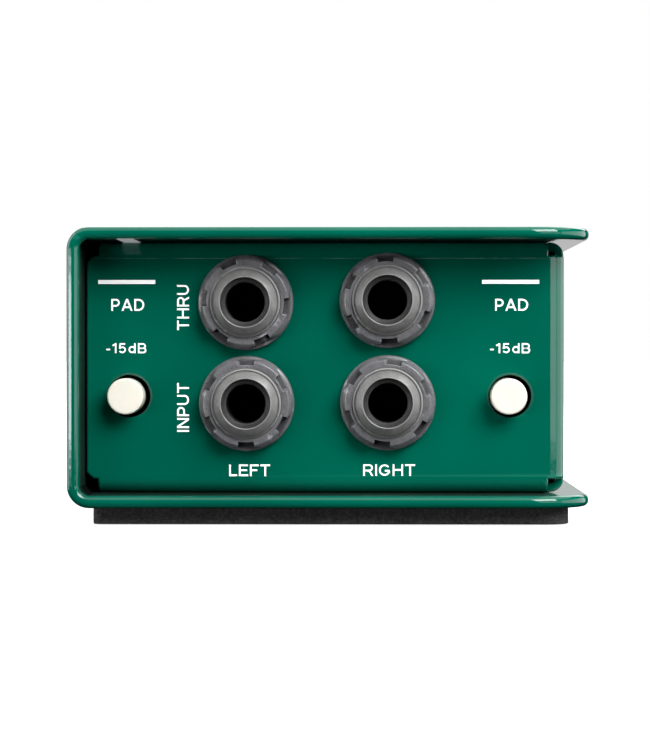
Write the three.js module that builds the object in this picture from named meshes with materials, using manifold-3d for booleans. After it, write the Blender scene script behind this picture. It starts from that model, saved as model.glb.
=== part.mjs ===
// A stereo passive direct injection box: a folded steel chassis that carries jacks, push switches, XLR
// connectors and two transformers, inside a C-shaped outer shell that overhangs both connector panels.
// Millimetres. X runs left to right seen from the jack panel, Y from the jack panel to the XLR panel,
// and Z is up.
// The origin is the middle of the face that the box rests on.
import * as THREE from "three";
import { mergeVertices } from "three/addons/utils/BufferGeometryUtils.js";
import Module from "manifold-3d";

const wasm = await Module();
wasm.setup();

// ---- Driving dimensions -------------------------------------------------------------------------------

const BOX_W = 84.5;
const BOX_L = 127;
const BOX_H = 48;
const PAD_T = 2.75; // the rubber pad under the shell
const SHELL_T = 2;
const SHELL_BEND_R = 3.6; // outside radius of the shell's two bends
const FLANGE_CORNER_R = 10; // plan radius of the shell's four free corners
const FIT_GAP = 0.1; // paint thickness between the chassis and the shell

const SHEET_T = 1.6; // chassis sheet
const SIDE_BEND_R = 2.7; // outside radius of the bends between the panels and the side wall
const LIP_BEND_R = 2.2; // outside radius of the bends between the walls and their lips
const PANEL_RECESS = 9.5; // from the shell's end to the face of each connector panel
const PANEL_LEFT_GAP = 0.25; // between the chassis's cut edge and the shell's side wall
const FLANGE_OVERHANG = 3.9; // how far the flanges reach past the chassis's side wall
const LIP = 12; // depth of the lips folded in from the two panels
const SIDE_LIP = 10; // depth of the lips folded in from the side wall
const LIP_START = 1.85; // the lips start this far in from the panels' cut edge
const EDGE_CHAMFER = 1.1;

const JACK_MID_X = -2.18; // middle of the two jack columns
const JACK_HALF_PITCH_X = 11.5;
const JACK_MID_Z = 27.83;
const JACK_HALF_PITCH_Z = 8.3;
const JACK_HOLE_R = 6.2;
const JACK_BARREL_R = 5.75;
const JACK_MOUTH_R = 4.55; // where the flat front ring meets the lead-in cone
const JACK_BORE_R = 3.23;
const JACK_BODY = 15.6;
const JACK_SIT = { // each barrel's place in its hole, which is 0.45 mm bigger in radius, as [x, z]
  thru_left: [-0.12, -0.16],
  input_left: [0.02, -0.07],
  thru_right: [0.02, 0.19],
  input_right: [0.1, 0.06],
};
const CONTACT_ROLL = THREE.MathUtils.degToRad(-10); // the contacts sit a little turned about the bore
const NUT_TURN = { // degrees, as tightened
  thru_left: -6,
  input_left: 30,
  thru_right: 33,
  input_right: 22,
};

const BUTTON_MID_X = -1.78;
const BUTTON_HALF_PITCH_X = 31.2;
const BUTTON_Z = 20.65;
const BUTTON_HOLE_R = 3.45;
const BUTTON_R = 2.95;
const BUTTON_OFFSET_X = -0.33; // the front switches sit a little left in their holes
const BUTTON_PROUD = 3.6;

const XLR_HALF_PITCH_X = 13.6;
const XLR_MID_X = -0.85;
const XLR_Z = 25.5;
const XLR_HOLE_R = 11.9;
const XLR_FLANGE_W = 26;
const XLR_FLANGE_H = 31;
const XLR_SCREW_X = 9.5; // half of the 19 by 24 mm screw spacing
const XLR_SCREW_Z = 12;

const BOARD_T = 1.6;
const BOARD_DEPTH = 28; // from a panel's face to the board behind it

// ---- Worked-out places --------------------------------------------------------------------------------

const SHELL_Z0 = PAD_T;
const SHELL_H = BOX_H - PAD_T;
const CHASSIS_Z0 = SHELL_Z0 + SHELL_T + FIT_GAP;
const CHASSIS_Z1 = BOX_H - SHELL_T - FIT_GAP;
const CHASSIS_H = CHASSIS_Z1 - CHASSIS_Z0;
const CHASSIS_X0 = -BOX_W / 2 + SHELL_T + PANEL_LEFT_GAP;
const CHASSIS_X1 = BOX_W / 2 - FLANGE_OVERHANG;
const PANEL_Y = BOX_L / 2 - PANEL_RECESS;
const LIP_X0 = CHASSIS_X0 + LIP_START;
const LIP_X1 = CHASSIS_X1 - SIDE_BEND_R;
const BOARD_X0 = CHASSIS_X0 + 1.15;
const BOARD_X1 = CHASSIS_X1 - SHEET_T - 1.85;
const BOARD_Z0 = CHASSIS_Z0 + SHEET_T + 1.4;
const BOARD_Z1 = CHASSIS_Z1 - SHEET_T - 0.9;

// ---- Shape helpers ------------------------------------------------------------------------------------

// A closed geometry as a manifold-3d solid, turned the right way out.
function solid(geometry) {
  const bare = geometry.clone();
  bare.deleteAttribute("normal");
  bare.deleteAttribute("uv");
  const merged = mergeVertices(bare, 1e-4);
  const tri = new Uint32Array(merged.index.array);
  const make = () =>
    new wasm.Manifold(
      new wasm.Mesh({ numProp: 3, vertProperties: merged.attributes.position.array, triVerts: tri }),
    );
  const made = make();
  if (made.volume() >= 0) return made;
  for (let i = 0; i < tri.length; i += 3) [tri[i + 1], tri[i + 2]] = [tri[i + 2], tri[i + 1]];
  return make();
}

function geometryOf(body) {
  const m = body.getMesh();
  const geometry = new THREE.BufferGeometry();
  geometry.setAttribute("position", new THREE.BufferAttribute(new Float32Array(m.vertProperties), 3));
  geometry.setIndex(new THREE.BufferAttribute(new Uint32Array(m.triVerts), 1));
  return geometry;
}

const union = (...bodies) => bodies.reduce((a, b) => a.add(b));
const cut = (body, ...tools) => tools.reduce((a, b) => a.subtract(b), body);

function box(x0, x1, y0, y1, z0, z1) {
  const g = new THREE.BoxGeometry(x1 - x0, y1 - y0, z1 - z0);
  return solid(g.translate((x0 + x1) / 2, (y0 + y1) / 2, (z0 + z1) / 2));
}

// A solid of revolution about Y from [radius, y] pairs.
function turned(profile, segments = 24) {
  return solid(new THREE.LatheGeometry(profile.map(([r, y]) => new THREE.Vector2(r, y)), segments));
}

function rod(r, y0, y1, x = 0, z = 0, segments = 24) {
  return solid(new THREE.CylinderGeometry(r, r, y1 - y0, segments).translate(x, (y0 + y1) / 2, z));
}

function rodZ(r, z0, z1, x, y, segments = 12) {
  const g = new THREE.CylinderGeometry(r, r, z1 - z0, segments).rotateX(Math.PI / 2);
  return solid(g.translate(x, y, (z0 + z1) / 2));
}

const AXES = {
  x: [new THREE.Vector3(0, 1, 0), new THREE.Vector3(0, 0, 1), new THREE.Vector3(1, 0, 0)],
  y: [new THREE.Vector3(1, 0, 0), new THREE.Vector3(0, 0, 1), new THREE.Vector3(0, -1, 0)],
  z: [new THREE.Vector3(1, 0, 0), new THREE.Vector3(0, 1, 0), new THREE.Vector3(0, 0, 1)],
};

// A shape drawn in the plane across an axis and extruded from a to b along it.
function prism(shape, axis, a, b, curveSegments = 3) {
  const g = new THREE.ExtrudeGeometry(shape, { depth: b - a, bevelEnabled: false, curveSegments });
  g.applyMatrix4(new THREE.Matrix4().makeBasis(...AXES[axis]));
  const start = axis === "y" ? b : a; // an extrusion across X and Z grows towards -Y
  g.translate(axis === "x" ? start : 0, axis === "y" ? start : 0, axis === "z" ? start : 0);
  return solid(g);
}

// A folded channel: a web of the given height on the line x = 0 and two legs towards +x.
function channel(legs, height, t, bend) {
  const s = new THREE.Shape();
  const half = Math.PI / 2;
  s.moveTo(legs, 0);
  s.lineTo(bend, 0);
  s.absarc(bend, bend, bend, -half, -Math.PI, true);
  s.lineTo(0, height - bend);
  s.absarc(bend, height - bend, bend, Math.PI, half, true);
  s.lineTo(legs, height);
  s.lineTo(legs, height - t);
  s.lineTo(bend, height - t);
  s.absarc(bend, height - bend, bend - t, half, Math.PI, false);
  s.lineTo(t, bend);
  s.absarc(bend, bend, bend - t, Math.PI, 3 * half, false);
  s.lineTo(legs, t);
  s.closePath();
  return s;
}

// A rectangle about the origin with one radius per corner, from the lower left corner anticlockwise.
function roundedRectangle(w, h, radii) {
  const s = new THREE.Shape();
  const corners = [[-1, -1], [1, -1], [1, 1], [-1, 1]];
  corners.forEach(([sx, sy], i) => {
    const r = radii[i];
    const from = Math.PI + (i * Math.PI) / 2;
    const [cx, cy] = [sx * (w / 2 - r), sy * (h / 2 - r)];
    const start = [cx + r * Math.cos(from), cy + r * Math.sin(from)];
    if (i === 0) s.moveTo(...start);
    else s.lineTo(...start);
    s.absarc(cx, cy, r, from, from + Math.PI / 2, false);
  });
  s.closePath();
  return s;
}

// A flat strip of the given thickness whose middle line runs through [y, z] points.
function strip(points, t, width) {
  const side = (sign) =>
    points.map((p, i) => {
      const before = points[Math.max(i - 1, 0)];
      const after = points[Math.min(i + 1, points.length - 1)];
      const d = new THREE.Vector2(after[0] - before[0], after[1] - before[1]).normalize();
      return [p[0] - sign * d.y * t * 0.5, p[1] + sign * d.x * t * 0.5];
    });
  const outline = [...side(1), ...side(-1).reverse()].map(([a, b]) => new THREE.Vector2(a, b));
  return prism(new THREE.Shape(outline), "x", -width / 2, width / 2);
}

class Helix extends THREE.Curve {
  constructor(radius, y0, y1, turns) {
    super();
    Object.assign(this, { radius, y0, y1, turns });
  }
  getPoint(t) {
    const a = t * this.turns * 2 * Math.PI;
    const y = this.y0 + (this.y1 - this.y0) * t;
    return new THREE.Vector3(this.radius * Math.cos(a), y, this.radius * Math.sin(a));
  }
}

// ---- Materials ----------------------------------------------------------------------------------------

const finish = (color, roughness, metalness) =>
  new THREE.MeshStandardMaterial({ color, roughness, metalness });
const PAINT = finish(0x005c47, 0.32, 0.0);
const FOAM = finish(0x1c1c1c, 0.95, 0.0);
const BLACK_OXIDE = finish(0x202022, 0.4, 0.8);
const GREY_NYLON = finish(0x5c5c60, 0.55, 0.0);
const BUTTON_WHITE = finish(0xf4f1e6, 0.4, 0.0);
const SPRING_BRASS = finish(0xcaa85a, 0.3, 1.0);
const SPRING_STEEL = finish(0xb9bcc0, 0.3, 1.0);
const SWITCH_BLACK = finish(0x18181a, 0.5, 0.0);
const CONNECTOR_BLACK = finish(0x141416, 0.45, 0.2);
const SILVER_PIN = finish(0xc9c9cc, 0.25, 1.0);
const BOARD_GREEN = finish(0x1d5c36, 0.5, 0.0);
const CAN_STEEL = finish(0xa9adb2, 0.35, 1.0);
const CORE_IRON = finish(0x5d5a57, 0.6, 0.6);

function mesh(name, body, material) {
  const made = new THREE.Mesh(geometryOf(body), material);
  made.name = name;
  return made;
}

// ---- Sheet metal and pad ------------------------------------------------------------------------------

const SCREW_TOP_X = [-33.25, 30.25];
const SCREW_BOTTOM_X = -1.25;
const SCREW_Y = PANEL_Y - 7.5;
const SCREW_HEAD_R = 2.9;
const SCREW_HEAD_H = 1.5;
const SCREW_SHANK_R = 1.42;
const SCREW_LENGTH = 6.4;
const TAPPED_R = 1.6;

// Every shell screw as {name, x, y, up}: up is true for one that goes in from above.
const shellScrews = [];
for (const [end, sy] of [["front", -1], ["rear", 1]]) {
  for (const [side, i] of [["left", 0], ["right", 1]]) {
    const name = `shell_screw_top_${end}_${side}`;
    shellScrews.push({ name, x: SCREW_TOP_X[i], y: sy * SCREW_Y, up: true });
  }
  shellScrews.push({ name: `shell_screw_bottom_${end}`, x: SCREW_BOTTOM_X, y: sy * SCREW_Y, up: false });
}

// The space for a countersunk screw, pointing along -Z from a face at z = 0.
function screwSpace(play, shank, length) {
  const r = SCREW_HEAD_R + play;
  const neck = -SCREW_HEAD_H - play;
  return turned([[0, -length], [shank, -length], [shank, neck], [r, 0], [r, 0.5], [0, 0.5]], 12)
    .rotate([90, 0, 0]);
}

// Turns something made for the top face to face down where the screw goes in from below.
function atScrew(body, { x, y, up }, zTop, zBottom) {
  return (up ? body : body.rotate([180, 0, 0])).translate([x, y, up ? zTop : zBottom]);
}

function outerShell() {
  const folded = prism(channel(BOX_W, SHELL_H, SHELL_T, SHELL_BEND_R), "y", -BOX_L / 2, BOX_L / 2)
    .translate([-BOX_W / 2, 0, SHELL_Z0]);
  const plan = roundedRectangle(BOX_W, BOX_L, [0, FLANGE_CORNER_R, FLANGE_CORNER_R, 0]);
  const trimmed = folded.intersect(prism(plan, "z", 0, BOX_H + 1, 5));
  const holes = shellScrews.map((s) => atScrew(screwSpace(0.15, TAPPED_R + 0.15, 4), s, BOX_H, SHELL_Z0));
  return cut(trimmed, ...holes);
}

function innerChassis() {
  const flatZ0 = CHASSIS_Z0 + LIP_BEND_R;
  const flatZ1 = CHASSIS_Z1 - LIP_BEND_R;
  // both panels and the side wall, as one U seen from above
  const plan = channel(CHASSIS_X1 - CHASSIS_X0, 2 * PANEL_Y, SHEET_T, SIDE_BEND_R);
  const walls = prism(plan, "z", flatZ0, flatZ1)
    .rotate([0, 0, 180])
    .translate([CHASSIS_X1, PANEL_Y, 0]);
  // each panel with its top and bottom lips
  const panel = channel(LIP, CHASSIS_H, SHEET_T, LIP_BEND_R);
  const front = prism(panel, "x", LIP_X0, LIP_X1).translate([0, -PANEL_Y, CHASSIS_Z0]);
  const rear = front.mirror([0, 1, 0]);
  // the side wall with its lips, whose flat part stops short of the panels' lips
  const sideEnd = PANEL_Y - SIDE_BEND_R;
  const side = prism(channel(SIDE_LIP, CHASSIS_H, SHEET_T, LIP_BEND_R), "y", -sideEnd, sideEnd)
    .mirror([1, 0, 0])
    .translate([CHASSIS_X1, 0, CHASSIS_Z0]);
  const lipEnd = PANEL_Y - LIP - 0.5;
  const sideTrims = [-1, 1].map((s) => {
    const [a, b] = [s * lipEnd, s * PANEL_Y].sort((p, q) => p - q);
    return box(CHASSIS_X1 - SIDE_LIP - 1, LIP_X1 - 0.05, a, b, 0, BOX_H);
  });
  // extruded and tapped holes: the sheet is drawn into a short collar round each thread
  const collars = shellScrews.map((s) =>
    atScrew(rodZ(2.5, -SHEET_T - 1.9, -0.4, 0, 0), s, CHASSIS_Z1, CHASSIS_Z0),
  );
  const shellTaps = shellScrews.map((s) =>
    atScrew(rodZ(TAPPED_R, -SHEET_T - 3, 1, 0, 0), s, CHASSIS_Z1, CHASSIS_Z0),
  );
  const through = SHEET_T + 1;
  const jackHoles = jacks.map((j) => rod(JACK_HOLE_R, -PANEL_Y - 1, -PANEL_Y + through, ...j.hole));
  const frontButtons = padSwitches.map((b) =>
    rod(BUTTON_HOLE_R, -PANEL_Y - 1, -PANEL_Y + through, b.x - BUTTON_OFFSET_X, b.z, 16),
  );
  const rearButtons = liftSwitches.map((b) =>
    rod(BUTTON_HOLE_R, PANEL_Y - through, PANEL_Y + 1, b.x, b.z, 16),
  );
  const xlrHoles = xlrs.map((c) => rod(XLR_HOLE_R, PANEL_Y - through, PANEL_Y + 1, c.x, XLR_Z, 28));
  const xlrTaps = xlrs.flatMap((c) =>
    [1, -1].map((s) =>
      rod(TAPPED_R, PANEL_Y - through, PANEL_Y + 1, c.x - s * XLR_SCREW_X, XLR_Z + s * XLR_SCREW_Z, 10),
    ),
  );
  const diamond = (y, z) =>
    solid(
      new THREE.BoxGeometry(EDGE_CHAMFER * Math.SQRT2, 6, EDGE_CHAMFER * Math.SQRT2)
        .rotateY(Math.PI / 4)
        .translate(CHASSIS_X0, y, z),
    );
  const chamfers = [-PANEL_Y, PANEL_Y].flatMap((y) => [diamond(y, flatZ0), diamond(y, flatZ1)]);
  return cut(
    union(walls, front, rear, cut(side, ...sideTrims), ...collars),
    ...shellTaps,
    ...jackHoles,
    ...frontButtons,
    ...rearButtons,
    ...xlrHoles,
    ...xlrTaps,
    ...chamfers,
  );
}

function basePad() {
  const insetLeft = 4;
  const insetRight = 3.6;
  const insetEnd = 4;
  const plan = roundedRectangle(BOX_W - insetLeft - insetRight, BOX_L - 2 * insetEnd, [1.5, 4, 4, 1.5]);
  return prism(plan, "z", 0, PAD_T).translate([(insetLeft - insetRight) / 2, 0, 0]);
}

// A countersunk screw along Z with its head's face at z = 0 and a cross recess.
function countersunkScrew() {
  const blank = turned(
    [[0, -SCREW_LENGTH], [SCREW_SHANK_R - 0.4, -SCREW_LENGTH], [SCREW_SHANK_R, -SCREW_LENGTH + 0.5],
      [SCREW_SHANK_R, -SCREW_HEAD_H], [SCREW_HEAD_R, -0.1], [SCREW_HEAD_R, 0], [0, 0]],
    12,
  ).rotate([90, 0, 0]);
  const arm = 1.5;
  const halfWidth = 0.32;
  const depth = 1.1;
  return cut(
    blank,
    box(-arm, arm, -halfWidth, halfWidth, -depth, 1),
    box(-halfWidth, halfWidth, -arm, arm, -depth, 1),
  );
}

// ---- Jacks --------------------------------------------------------------------------------------------
// Each is made about its own axis: y = 0 is the panel's outer face, and +y goes into the box.

const JACK_FRONT = -4.7;
const JACK_BACK = 27.5;
const NUT_FRONT = -3.1;

const jacks = [];
for (const [side, sx] of [["left", -1], ["right", 1]]) {
  for (const [row, sz] of [["thru", 1], ["input", -1]]) {
    const name = `${row}_${side}`;
    const hole = [JACK_MID_X + sx * JACK_HALF_PITCH_X, JACK_MID_Z + sz * JACK_HALF_PITCH_Z];
    jacks.push({ name, hole, x: hole[0] + JACK_SIT[name][0], z: hole[1] + JACK_SIT[name][1] });
  }
}

const CONTACT_T = 0.3;
const CONTACT_W = 3;
const LEG_Z = 6.2; // height of each contact's straight leg above or below the bore's axis
const LEG_END = BOARD_DEPTH + BOARD_T + 1.2;
// Middle lines as [y, z]: from the soldered end forward, round a tight bend and back to the nose.
const BEND = 0.6; // half the height of that bend
const SLEEVE_FRONT = 4;
const SLEEVE_LINE = [
  [LEG_END, LEG_Z],
  [SLEEVE_FRONT + BEND, LEG_Z],
  [SLEEVE_FRONT, LEG_Z - BEND],
  [SLEEVE_FRONT + BEND, LEG_Z - 2 * BEND],
  [9, 2.8],
  [10, 2.8],
  [12.5, 4.2],
];
const TIP_FRONT = 9;
const TIP_LINE = [
  [LEG_END, -LEG_Z],
  [TIP_FRONT + BEND, -LEG_Z],
  [TIP_FRONT, -LEG_Z + BEND],
  [TIP_FRONT + BEND, -LEG_Z + 2 * BEND],
  [19, -4.4],
  [22.4, -2.6],
  [23.2, -2.6],
  [25.4, -3.8],
];

function jackBody() {
  const barrel = turned([
    [0, 2],
    [JACK_BARREL_R, 2],
    [JACK_BARREL_R, JACK_FRONT + 0.4],
    [JACK_BARREL_R - 0.4, JACK_FRONT],
    [JACK_MOUTH_R, JACK_FRONT],
    [JACK_BORE_R, JACK_FRONT + 1.1],
    [JACK_BORE_R, -2],
    [0, -2],
  ]);
  // the housing's shoulder is narrower than the rest, to clear the inside of the chassis's bends
  const h = JACK_BODY / 2;
  const shoulder = h - 1.2;
  const housing = union(
    box(-shoulder, shoulder, SHEET_T + 0.1, JACK_BACK, -shoulder, shoulder),
    box(-h, h, LIP_BEND_R + 0.1, JACK_BACK, -h, h),
  );
  const play = 0.45;
  const slotW = CONTACT_W / 2 + play;
  const legHalf = CONTACT_T / 2 + play;
  const slots = union(
    box(-slotW, slotW, 3.2, 13.5, 0, LEG_Z + legHalf),
    box(-slotW, slotW, 12, JACK_BACK + 1, LEG_Z - legHalf, LEG_Z + legHalf),
    box(-slotW, slotW, 8.2, 26.5, -LEG_Z - legHalf, 0),
    box(-slotW, slotW, 8.2, JACK_BACK + 1, -LEG_Z - legHalf, -LEG_Z + legHalf),
  ).rotate([0, THREE.MathUtils.radToDeg(CONTACT_ROLL), 0]);
  return cut(union(barrel, housing), rod(JACK_BORE_R, -4, JACK_BACK - 0.6), slots);
}

function jackNut() {
  const flange = turned([[0, -0.05], [7.8, -0.05], [7.8, -0.7], [7.55, -1.2], [0, -1.2]]);
  const cornerR = 14 / Math.sqrt(3); // 14 mm across the flats
  const hex = new THREE.CylinderGeometry(cornerR, cornerR, 4, 6).translate(0, -2, 0);
  const cone = turned([[0, -1], [7.6, -1], [6.95, NUT_FRONT], [0, NUT_FRONT]]);
  // a cylinder's first corner is at +Z, so its flats face the six slots at 30 degrees and every 60 from there
  const body = solid(hex).intersect(cone);
  const slot = box(-1.35, 1.35, NUT_FRONT - 1, NUT_FRONT + 1.3, 6.2, 9);
  const slots = [0, 1, 2, 3, 4, 5].map((k) => slot.rotate([0, 30 + 60 * k, 0]));
  return cut(union(flange, body), rod(6.0, -5, 1), ...slots);
}

function jack({ name, x, z }) {
  const group = new THREE.Group();
  group.position.set(x, -PANEL_Y, z);
  group.add(mesh(`${name}_jack_body`, jackBody(), GREY_NYLON));
  const nut = mesh(`${name}_jack_nut`, jackNut(), GREY_NYLON);
  nut.rotation.y = THREE.MathUtils.degToRad(-NUT_TURN[name]);
  group.add(nut);
  const contacts = new THREE.Group();
  contacts.rotation.y = CONTACT_ROLL;
  contacts.add(mesh(`${name}_sleeve_contact`, strip(SLEEVE_LINE, CONTACT_T, CONTACT_W), SPRING_BRASS));
  contacts.add(mesh(`${name}_tip_contact`, strip(TIP_LINE, CONTACT_T, CONTACT_W), SPRING_BRASS));
  group.add(contacts);
  return group;
}

// ---- Push switches ------------------------------------------------------------------------------------
// Made like the jacks: y = 0 is the panel's outer face, and the button is pushed towards +y.

const SWITCH_FRONT = 12;
const SWITCH_BODY = 8.4;
const SPRING_Y0 = 14.8;
const SPRING_Y1 = 23.6;
const SWITCH_PINS = [-2.5, 0, 2.5].flatMap((x) => [[x, -2.2], [x, 2.2]]);

const padSwitches = [["left", -1], ["right", 1]].map(([side, s]) => ({
  name: `pad_${side}`,
  x: BUTTON_MID_X + s * BUTTON_HALF_PITCH_X + BUTTON_OFFSET_X,
  z: BUTTON_Z,
}));
const liftSwitches = [["left", -1], ["right", 1]].map(([side, s]) => ({
  name: `lift_${side}`,
  x: XLR_MID_X + s * BUTTON_HALF_PITCH_X,
  z: BUTTON_Z,
}));

function switchBody() {
  const h = SWITCH_BODY / 2;
  const back = BOARD_DEPTH - 0.3;
  const pins = SWITCH_PINS.map(([x, z]) => box(x - 0.35, x + 0.35, back - 1, LEG_END, z - 0.25, z + 0.25));
  const cavity = 3.1;
  const neck = 1.8;
  return cut(
    union(box(-h, h, SWITCH_FRONT, back, -h, h), ...pins),
    box(-cavity, cavity, SWITCH_FRONT + 0.8, 24, -cavity, cavity),
    box(-neck, neck, SWITCH_FRONT - 1, SWITCH_FRONT + 1, -neck, neck),
  );
}

function plunger() {
  const stem = 1.45;
  const collar = 2.8;
  return union(
    box(-stem, stem, 1.8, 13.5, -stem, stem),
    box(-collar, collar, 13.0, 14.5, -collar, collar),
    rod(1.1, 14, 17, 0, 0, 8),
  );
}

function buttonCap() {
  const rim = 0.35;
  const back = 6;
  const body = turned([
    [0, back],
    [BUTTON_R, back],
    [BUTTON_R, -BUTTON_PROUD + rim],
    [BUTTON_R - rim, -BUTTON_PROUD],
    [0, -BUTTON_PROUD],
  ], 16);
  const pocket = 1.75;
  return cut(body, box(-pocket, pocket, 1.5, back + 1, -pocket, pocket));
}

function returnSpring() {
  const wire = new THREE.Shape().absarc(0, 0, 0.22, 0, 2 * Math.PI, false);
  const path = new Helix(1.9, SPRING_Y0 + 0.25, SPRING_Y1 - 0.25, 3.75);
  return solid(new THREE.ExtrudeGeometry(wire, { steps: 30, curveSegments: 2, extrudePath: path }));
}

function pushSwitch({ name, x, z }, y, turn) {
  const group = new THREE.Group();
  group.position.set(x, y, z);
  group.rotation.z = turn;
  group.add(mesh(`${name}_switch_body`, switchBody(), SWITCH_BLACK));
  group.add(mesh(`${name}_plunger`, plunger(), SWITCH_BLACK));
  group.add(mesh(`${name}_button_cap`, buttonCap(), BUTTON_WHITE));
  group.add(mesh(`${name}_return_spring`, returnSpring(), SPRING_STEEL));
  return group;
}

// ---- XLR connectors -----------------------------------------------------------------------------------
// Also made from the panel's outer face, with +y going into the box.

const xlrs = [["left", -1], ["right", 1]].map(([side, s]) => ({
  name: `xlr_${side}`,
  x: XLR_MID_X + s * XLR_HALF_PITCH_X,
}));
const XLR_PIN_CIRCLE = 4.6;
const XLR_PINS = [150, 30, 270].map((deg) => {
  const a = THREE.MathUtils.degToRad(deg);
  return [XLR_PIN_CIRCLE * Math.cos(a), XLR_PIN_CIRCLE * Math.sin(a)];
});
const XLR_CAVITY_R = 9.5;
const XLR_FLOOR = 12; // depth of the cavity's floor behind the panel's face
const XLR_BACK = 22;

function xlrShell() {
  const flangeT = 1.8;
  const flange = prism(roundedRectangle(XLR_FLANGE_W, XLR_FLANGE_H, [3, 3, 3, 3]), "y", -flangeT, -0.05);
  const barrel = turned([[0, XLR_BACK], [11.6, XLR_BACK], [11.6, -2.4], [11.1, -2.9], [0, -2.9]], 28);
  const cavity = turned(
    [[0, XLR_FLOOR], [XLR_CAVITY_R, XLR_FLOOR], [XLR_CAVITY_R, -2.4], [10.1, -4], [0, -4]],
    28,
  );
  const latchNotch = box(-2.3, 2.3, -4, 3, 8, XLR_CAVITY_R + 1);
  const pinHoles = XLR_PINS.map(([x, z]) => rod(1.4, XLR_FLOOR - 1, XLR_BACK + 1, x, z, 8));
  const screwHoles = [1, -1].map((s) =>
    turned([[0, 1], [1.75, 1], [1.75, -0.3], [3.1, -1.8], [3.1, -3], [0, -3]], 12)
      .translate([s * XLR_SCREW_X, 0, s * XLR_SCREW_Z]),
  );
  return cut(union(flange, barrel), cavity, latchNotch, ...pinHoles, ...screwHoles);
}

function xlrPin() {
  const r = 1.15;
  const tail = 0.55;
  const step = XLR_BACK + 1;
  return turned([[0, LEG_END], [tail, LEG_END], [tail, step], [r, step], [r, 3], [0.7, 2.2], [0, 2.2]], 10);
}

function xlrScrew() {
  const r = 2.85;
  const face = -1.85;
  const blank = turned(
    [[0, 5], [1.1, 5], [SCREW_SHANK_R, 4.5], [SCREW_SHANK_R, -0.4], [r, face + 0.1], [r, face], [0, face]],
    12,
  );
  const [arm, half] = [1.4, 0.3];
  return cut(blank, box(-arm, arm, -4, -0.9, -half, half), box(-half, half, -4, -0.9, -arm, arm));
}

function xlr({ name, x }) {
  const group = new THREE.Group();
  group.position.set(x, PANEL_Y, XLR_Z);
  group.rotation.z = Math.PI;
  group.add(mesh(`${name}_shell`, xlrShell(), CONNECTOR_BLACK));
  XLR_PINS.forEach(([px, pz], i) => {
    const pin = mesh(`${name}_pin_${i + 1}`, xlrPin(), SILVER_PIN);
    pin.position.set(px, 0, pz);
    group.add(pin);
  });
  for (const [place, s] of [["upper", 1], ["lower", -1]]) {
    const screw = mesh(`${name}_screw_${place}`, xlrScrew(), BLACK_OXIDE);
    screw.position.set(s * XLR_SCREW_X, 0, s * XLR_SCREW_Z);
    group.add(screw);
  }
  return group;
}

// ---- Circuit boards and transformers ------------------------------------------------------------------

const MAIN_BOARD_Z = BOARD_Z0 + 1.2; // underside of the board that carries the transformers
const TAB_W = 6;
const TAB_SLOT = TAB_W / 2 + 0.2; // half the length of the slot for a tab
const TAB_X = [-24, -2, 20];
const UPRIGHT_INNER = PANEL_Y - BOARD_DEPTH - BOARD_T; // the inner face of each upright board
const CAN_W = 26;
const CAN_H = 28;
const CAN_X = [-17, 14];
const CAN_WALL = 0.8;

// Slots in an upright board for the main board's tabs, and holes for the switches' pins.
const tabSlots = (y0, y1) =>
  TAB_X.map((x) =>
    box(x - TAB_SLOT, x + TAB_SLOT, y0 - 1, y1 + 1, MAIN_BOARD_Z - 0.2, MAIN_BOARD_Z + BOARD_T + 0.2),
  );

const pinHoles = (switches, y0, y1) =>
  switches.flatMap(({ x, z }) =>
    SWITCH_PINS.map(([px, pz]) =>
      box(x + px - 0.65, x + px + 0.65, y0 - 1, y1 + 1, z + pz - 0.55, z + pz + 0.55),
    ),
  );

function uprightBoard(y0, y1, ...holes) {
  return cut(box(BOARD_X0, BOARD_X1, y0, y1, BOARD_Z0, BOARD_Z1), ...holes, ...tabSlots(y0, y1));
}

function frontBoard() {
  const y0 = -UPRIGHT_INNER - BOARD_T;
  const y1 = -UPRIGHT_INNER;
  const legSlots = jacks.flatMap((j) =>
    [1, -1].map((s) =>
      box(-CONTACT_W / 2 - 0.4, CONTACT_W / 2 + 0.4, y0 - 1, y1 + 1, s * LEG_Z - 0.5, s * LEG_Z + 0.5)
        .rotate([0, THREE.MathUtils.radToDeg(CONTACT_ROLL), 0])
        .translate([j.x, 0, j.z]),
    ),
  );
  return uprightBoard(y0, y1, ...legSlots, ...pinHoles(padSwitches, y0, y1));
}

function rearBoard() {
  const y0 = UPRIGHT_INNER;
  const y1 = UPRIGHT_INNER + BOARD_T;
  const xlrHoles = xlrs.flatMap((c) =>
    XLR_PINS.map(([x, z]) => rod(0.85, y0 - 1, y1 + 1, c.x - x, XLR_Z + z, 8)),
  );
  return uprightBoard(y0, y1, ...xlrHoles, ...pinHoles(liftSwitches, y0, y1));
}

function mainBoard() {
  const end = UPRIGHT_INNER - 0.3;
  const z0 = MAIN_BOARD_Z;
  const z1 = MAIN_BOARD_Z + BOARD_T;
  const reach = UPRIGHT_INNER + BOARD_T + 0.6;
  const tabs = TAB_X.map((x) => box(x - TAB_W / 2, x + TAB_W / 2, -reach, reach, z0, z1));
  return union(box(BOARD_X0, BOARD_X1, -end, end, z0, z1), ...tabs);
}

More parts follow.
